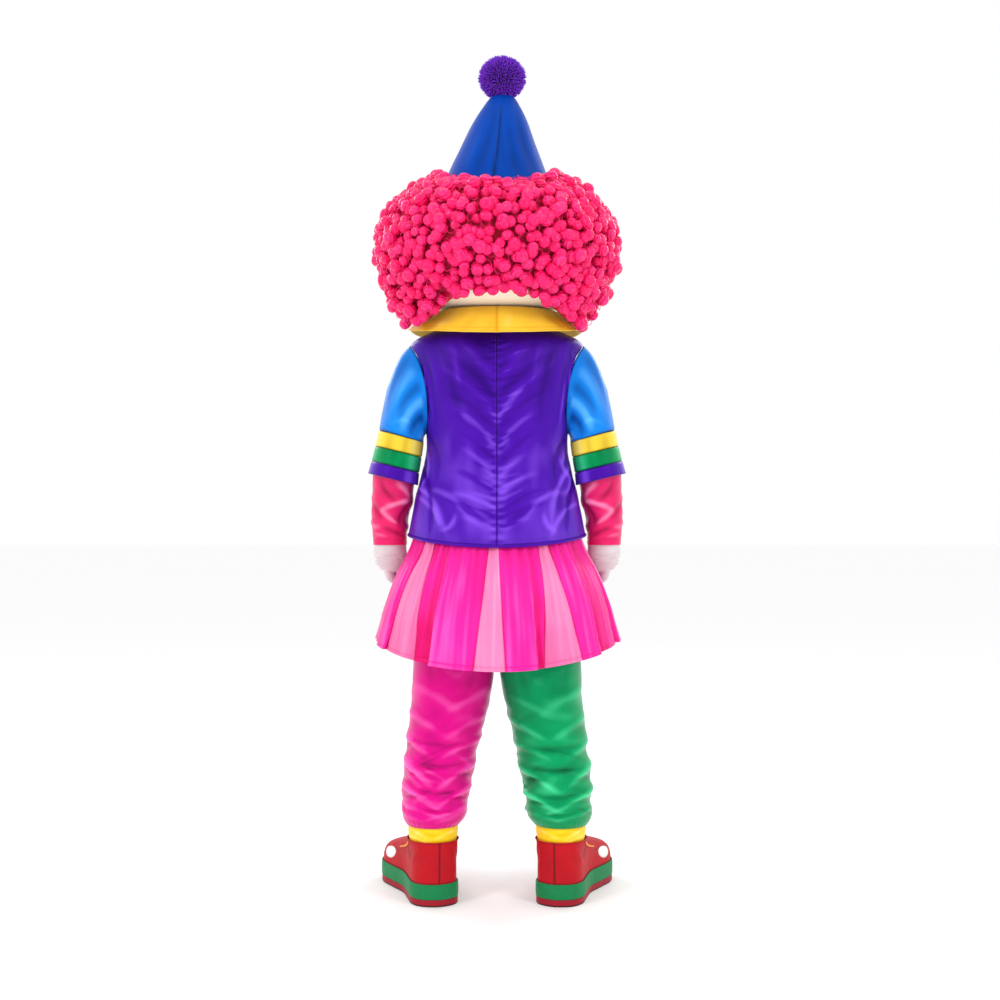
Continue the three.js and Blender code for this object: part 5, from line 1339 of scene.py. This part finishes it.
magenta_satin = woven_satin("magenta_satin", "#dd0b86", "#8c0052", "#ff62c0", roughness=0.3)
leg_green_satin = woven_satin("leg_green_satin", "#0c965a", "#02522f", "#4ad898", roughness=0.3)
for side, word, cloth, slot, creases, seed in (
    (1, "left", magenta_satin, "trousers_pink_satin", crossing_creases(LEG_CREASES), 61.0),
    (-1, "right", leg_green_satin, "trousers_green_satin", crossing_creases(RIGHT_LEG_CREASES), 71.0),
):
    for part, low, high in (("back", 0.02, 180), ("front", 180.02, 359.98)):

        def leg_panel_surface(u, v):
            return leg_surface(mix(low, high, u), v ** 1.25 if v > 0 else 0, creases, seed)

        shape = on_side(bend_cloth(leg_panel_surface, 66, 164, (0.29, 0.8)), side)
        panel = add_piece(f"trouser_satin_{part}_{word}", shape, cloth, slot, f"trouser_{part}_{word}", wall=1.4)

# Ankle cuffs: a smooth yellow knit sock top that shows between the trousers and the shoe.
# It is a doubled band, slack enough to wrinkle a little where the foot bends.

ANKLE_ROWS = [(140, 52, 54), (154, 58.2, 60.2), (176, 62, 64), (200, 59, 61)]  # height, half-width, half-depth
CUFF_CREASES = [  # mm round from the centre back, positive outwards, then height; size, width, bow
    (60, 184, 10, 166, 2.2, 4, 2), (-60, 180, -6, 164, 2.0, 4, -2), (20, 176, -40, 172, -1.6, 3.5, 0),
    (70, 168, 20, 156, 1.8, 4, 2), (110, 180, 150, 164, 2.0, 4, 0), (-110, 178, -160, 162, 2.0, 4, 0),
]
ANKLE_X, ANKLE_Y = 157, 2
CUFF_MM_PER_DEGREE = 1.1
cuff_knit = woven_satin("yellow_jersey_knit", "#ffd21f", "#e0a000", "#fff08a", roughness=0.5, thread=1.3, sheen=0.3)


def cuff_surface(u, v):
    turn = math.radians(360 * u)
    from_back = round_from_back(360 * u)
    height, half_width, half_depth = read(ANKLE_ROWS, v)
    fold = crease_depth(CUFF_CREASES, from_back * CUFF_MM_PER_DEGREE, height) * ease(141, 152, height)
    fold += 0.9 * ripple(from_back, height, 24, 16, 81.0)
    fold = min(fold, 1.4) if height > 188 or height < 152 else fold
    return (ANKLE_X + (half_width + fold - 0.5) * math.cos(turn),
            ANKLE_Y + (half_depth + fold - 0.5) * math.sin(turn), height), fold / 3


for side, word in SIDES:
    shape = on_side(bend_cloth(cuff_surface, 64, 20, (0.38, 0.06), closed=True), side)
    cuff = add_piece(f"cuff_knit_{word}", shape, cuff_knit, "cuff_yellow_jersey", f"ankle_cuff_{word}",
                     wall=1.6)

# Shoes: big-toed boots, toed outwards. The soft red leather upper is lasted over a green rubber
# foxing band and a red sole with a black tread; a white disc is set on each toe.

SHOE_TOE_OUT = 17
SOLE_TOP, BAND_TOP, SHOE_COLLAR, HEEL_BACK = 17, 54, 156, 66
SOLE_ROWS = [  # length from the heel and half-width; the rows before and after make the ends round
    (6, -26), (0, 0), (6, 26), (22, 48), (55, 60), (105, 57), (165, 54), (225, 66), (285, 76), (335, 66),
    (362, 38), (370, 0), (362, -38),
]
SOLE_STEPS = len(SOLE_ROWS) - 3
SOLE_MIDDLE = 170  # from the heel


def sole_at(place):
    return Vector(read(SOLE_ROWS, (1 + place * SOLE_STEPS) / (len(SOLE_ROWS) - 1)))


def sole_outline(u, inset):
    """The sole's edge at turn u from the toe, seen from above, moved in by inset mm."""
    side = -1 if u > 0.5 else 1
    place = abs(1 - 2 * u)
    here, ahead = sole_at(place), sole_at(place + 0.004) - sole_at(place - 0.004)
    along = Vector((side * ahead[1], -ahead[0])).normalized()
    return Vector((side * here[1], -here[0])) + Vector((along.y, -along.x)) * side * inset


shoe_turn = Matrix.Rotation(math.radians(SHOE_TOE_OUT), 3, "Z")


def at_shoe(x, y, z):
    return shoe_turn @ Vector((x, y + HEEL_BACK, z)) + Vector((ANKLE_X, ANKLE_Y, 0))


UPPER_CREASES = [  # degrees round from the heel, positive outwards, then height; size, width, bow
    (46, 150, 70, 96, 2.4, 7, 3), (-40, 148, -66, 92, 2.4, 7, -3), (80, 138, 60, 88, -2.2, 6, 3),
    (-84, 136, -60, 86, -2.2, 6, -3), (22, 120, 40, 76, 1.4, 7, 0), (-20, 124, -34, 78, 1.4, 7, 0),
    (104, 132, 88, 96, 2.0, 7, 0), (-106, 130, -90, 94, 2.0, 7, 0),
]
# Painted shade: the leather goes towards a deep red in the creases' troughs and along its seams, from the fold
# attribute; its own red varies at random.
red_leather, tree = new_material("soft_red_leather")
pebble = add_node(tree, "TexVoronoi", {"Vector": object_place(tree), "Scale": 480})
fold = add_node(tree, "Attribute", attribute_name="fold").outputs["Fac"]
shade = add_node(tree, "MapRange", {"Value": fold, "From Min": 0.0, "From Max": -1.0})
put_out(tree, blend(tree, shade, blend(tree, noise_at(tree, 14, 3), "#a40010", "#c2041c"), "#62000c"), 0.58,
        (pebble.outputs["Distance"], 0.18, 0.0005), {"Specular IOR Level": 0.2})


def upper_surface(u, v):
    foot = sole_outline(u, 4.4)
    turn = math.radians(360 * u - 90)
    share = (BAND_TOP - SOLE_TOP) / (SHOE_COLLAR - SOLE_TOP)  # of the upper, this much is behind the band
    if v < share:
        spot = Vector((foot.x, foot.y, mix(SOLE_TOP + 0.3, BAND_TOP, v / share)))
        # Painted shade just under the band's top edge.
        return tuple(at_shoe(*spot)), -0.8 * bell(v, share, 0.01)
    t = (v - share) / (1 - share)
    low = Vector((foot.x, foot.y, BAND_TOP))
    toe = ease(120, 230, -foot.y)
    rim = Vector((63 * math.cos(turn), -HEEL_BACK + 65 * math.sin(turn), SHOE_COLLAR + 6 * max(-math.sin(turn), 0)))
    above = low + Vector((0, 0, mix(56, 62, toe)))
    ridge = low.lerp(rim, 0.62)
    ridge.z = mix(SHOE_COLLAR - 22, 118, toe)
    spot = (low * (1 - t) ** 3 + above * (3 * t * (1 - t) ** 2) + ridge * (3 * t * t * (1 - t)) + rim * t ** 3)
    round_it = (360 * u) % 360 - 180
    fold = crease_depth(UPPER_CREASES, round_it, spot.z) + 1.0 * ripple(round_it, spot.z, 30, 34, 91.0)
    fold *= ease(0.0, 0.12, t) * ease(1.0, 0.93, t)
    heel = 1.1 * bell(round_it, 0, 0.8)
    toe_cap = 0.8 * bell(t, 0.42 + 0.12 * math.cos(math.radians(round_it)), 0.015) * toe
    out = Vector((math.cos(turn), math.sin(turn), 0.35 + 1.5 * t * toe)).normalized()
    lip = 1.6 * bell(t, 0.965, 0.02) - 1.0 * bell(t, 0.93, 0.012)
    spot += out * (fold - heel - toe_cap + lip)
    # Painted shade along the heel seam, the toe cap's edge, under the collar's lip and just above the band, and in
    # the creases' troughs.
    return tuple(at_shoe(*spot)), fold / 4 - heel - toe_cap - 0.6 * bell(t, 0.93, 0.01) - 0.9 * bell(t, 0, 0.012)


def ringed_surface(rows, middle=None):
    """A surface round the sole through rows of (inset, height); with a middle, in mm from the heel,
    a row's inset may be None, which puts it at that middle."""
    def surface(u, v):
        spot = v * (len(rows) - 1)
        i = min(int(spot), len(rows) - 2)
        points = []
        for inset, height in rows[i:i + 2]:
            edge = Vector((0, -middle)) if inset is None else sole_outline(u, inset)
            points.append(Vector((edge.x, edge.y, height)))
        return tuple(at_shoe(*points[0].lerp(points[1], spot - i))), 0
    return surface


BAND_RING = [(3.9, 17.6), (1.0, 17.5), (0.1, 18.4), (-0.2, 24), (-0.4, 35), (-0.2, 47), (0.2, 52.4), (1.2, 54),
             (3.0, 54), (3.9, 53), (3.9, 35), (3.9, 17.6)]
SOLE_RING = [(None, 0.0), (30, 0.0), (3.0, 0.0), (1.6, 0.6), (1.0, 2.2), (1.0, 8), (1.0, 14.6), (1.6, 16.6),
             (3.0, 17), (30, 17), (None, 17)]


def moulded_rubber(name, body, shade, tread=False):
    """Moulded rubber: an even matt gloss and faint flow marks; a sole with a tread is near black in its lowest few
    mm.
    """
    material, tree = new_material(name)
    marks = noise_at(tree, 60, 4)
    colour = blend(tree, marks, body, shade)
    if tread:
        height = add_node(tree, "SeparateXYZ", {"Vector": object_place(tree)}).outputs["Z"]
        low = add_node(tree, "MapRange", {
            "Value": height, "From Min": FLOOR_HEIGHT + 0.0038, "From Max": FLOOR_HEIGHT + 0.0032})
        colour = blend(tree, low, colour, "#16110f")
    put_out(tree, colour, 0.55, (marks, 0.1, 0.0008), {"Specular IOR Level": 0.25})
    return material


green_rubber = moulded_rubber("green_foxing_rubber", "#02844a", "#016e3c")
red_rubber = moulded_rubber("red_sole_rubber", "#a80c26", "#860a20", tread=True)
white_vinyl, tree = new_material("white_vinyl_disc")
put_out(tree, blend(tree, noise_at(tree, 120, 3), "#f4f4f2", "#e2e2e0"), 0.35)
orange_cord, tree = new_material("waxed_orange_cord")
twist = add_node(tree, "TexWave", {
    "Vector": object_place(tree), "Scale": WAVE_BANDS / 0.0018}, bands_direction="DIAGONAL")
put_out(tree, "#f08a12", 0.4, (twist.outputs["Fac"], 0.4, 0.0003))
CORD_RADIUS = 1.7


def upper_outward(u, v):
    ahead, behind, above, below = (Vector(upper_surface(a, b)[0]) for a, b in (
        (u + 0.004, v), (u - 0.004, v), (u, v + 0.01), (u, v - 0.01)))
    return (ahead - behind).cross(above - below).normalized()


DISC_CENTRE, DISC_REACH = (0.175, 0.445), (0.027, 0.11)  # on the upper, as shares round it and up it


def disc_point(x, y):
    u, v = DISC_CENTRE[0] + DISC_REACH[0] * x, DISC_CENTRE[1] + DISC_REACH[1] * y
    return Vector(upper_surface(u, v)[0]) + upper_outward(u, v) * (0.9 if math.hypot(x, y) < 0.97 else 0.1)


def quarter_cord(offset):
    """A cord laid from the collar down the outer quarter: points on the upper, in mm."""
    points = []
    for k in range(13):
        t = k / 12
        u, v = mix(0.27, 0.215, t) + offset * math.sin(math.pi * t), mix(0.93, 0.66, t)
        points.append(Vector(upper_surface(u, v)[0]) + upper_outward(u, v) * 1.6)
    return points


for side, word in SIDES:
    shape = on_side(bend_cloth(upper_surface, 112, 42, (0.9, 0.2), closed=True), side)
    upper = add_piece(f"shoe_leather_{word}", shape, red_leather, "shoe_red_leather", f"shoe_upper_{word}", wall=1.8)
    for part, ring, middle, cut, rubber, slot, node in (
        ("foxing", BAND_RING, None, (0.9, 0.1), green_rubber, "shoe_green_rubber", "shoe_band"),
        ("sole_rubber", SOLE_RING, SOLE_MIDDLE, (0.9, 0.3), red_rubber, "shoe_red_rubber", "shoe_sole"),
    ):
        shape = on_side(bend_cloth(ringed_surface(ring, middle), 112, 34, cut, closed=True), side)
        bmesh.ops.remove_doubles(shape, verts=shape.verts, dist=5e-6)
        bmesh.ops.recalc_face_normals(shape, faces=shape.faces)
        add_piece(f"{part}_{word}", shape, rubber, slot, f"{node}_{word}")

    # The disc is vinyl glued to the toe's outer side, with its edge pressed down.
    shape = bent_disc(40, 4, disc_point)
    if shape.faces[:][0].normal.x < 0:
        bmesh.ops.reverse_faces(shape, faces=shape.faces)
    add_piece(f"toe_disc_{word}", on_side(shape, side), white_vinyl, "shoe_red_leather", wall=0.8)
    for i, offset in enumerate((0.0, 0.012)):
        shape = bmesh.new()
        points = quarter_cord(offset)
        for a, b in zip(points, points[1:]):
            add_bead(shape, (a + b) / 2, b - a, CORD_RADIUS, (b - a).length / 2 + 0.8, 2)
        smooth(shape)
        add_piece(f"quarter_cord_{i + 1}_{word}", on_side(shape, side), orange_cord, "shoe_red_leather")

low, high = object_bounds()
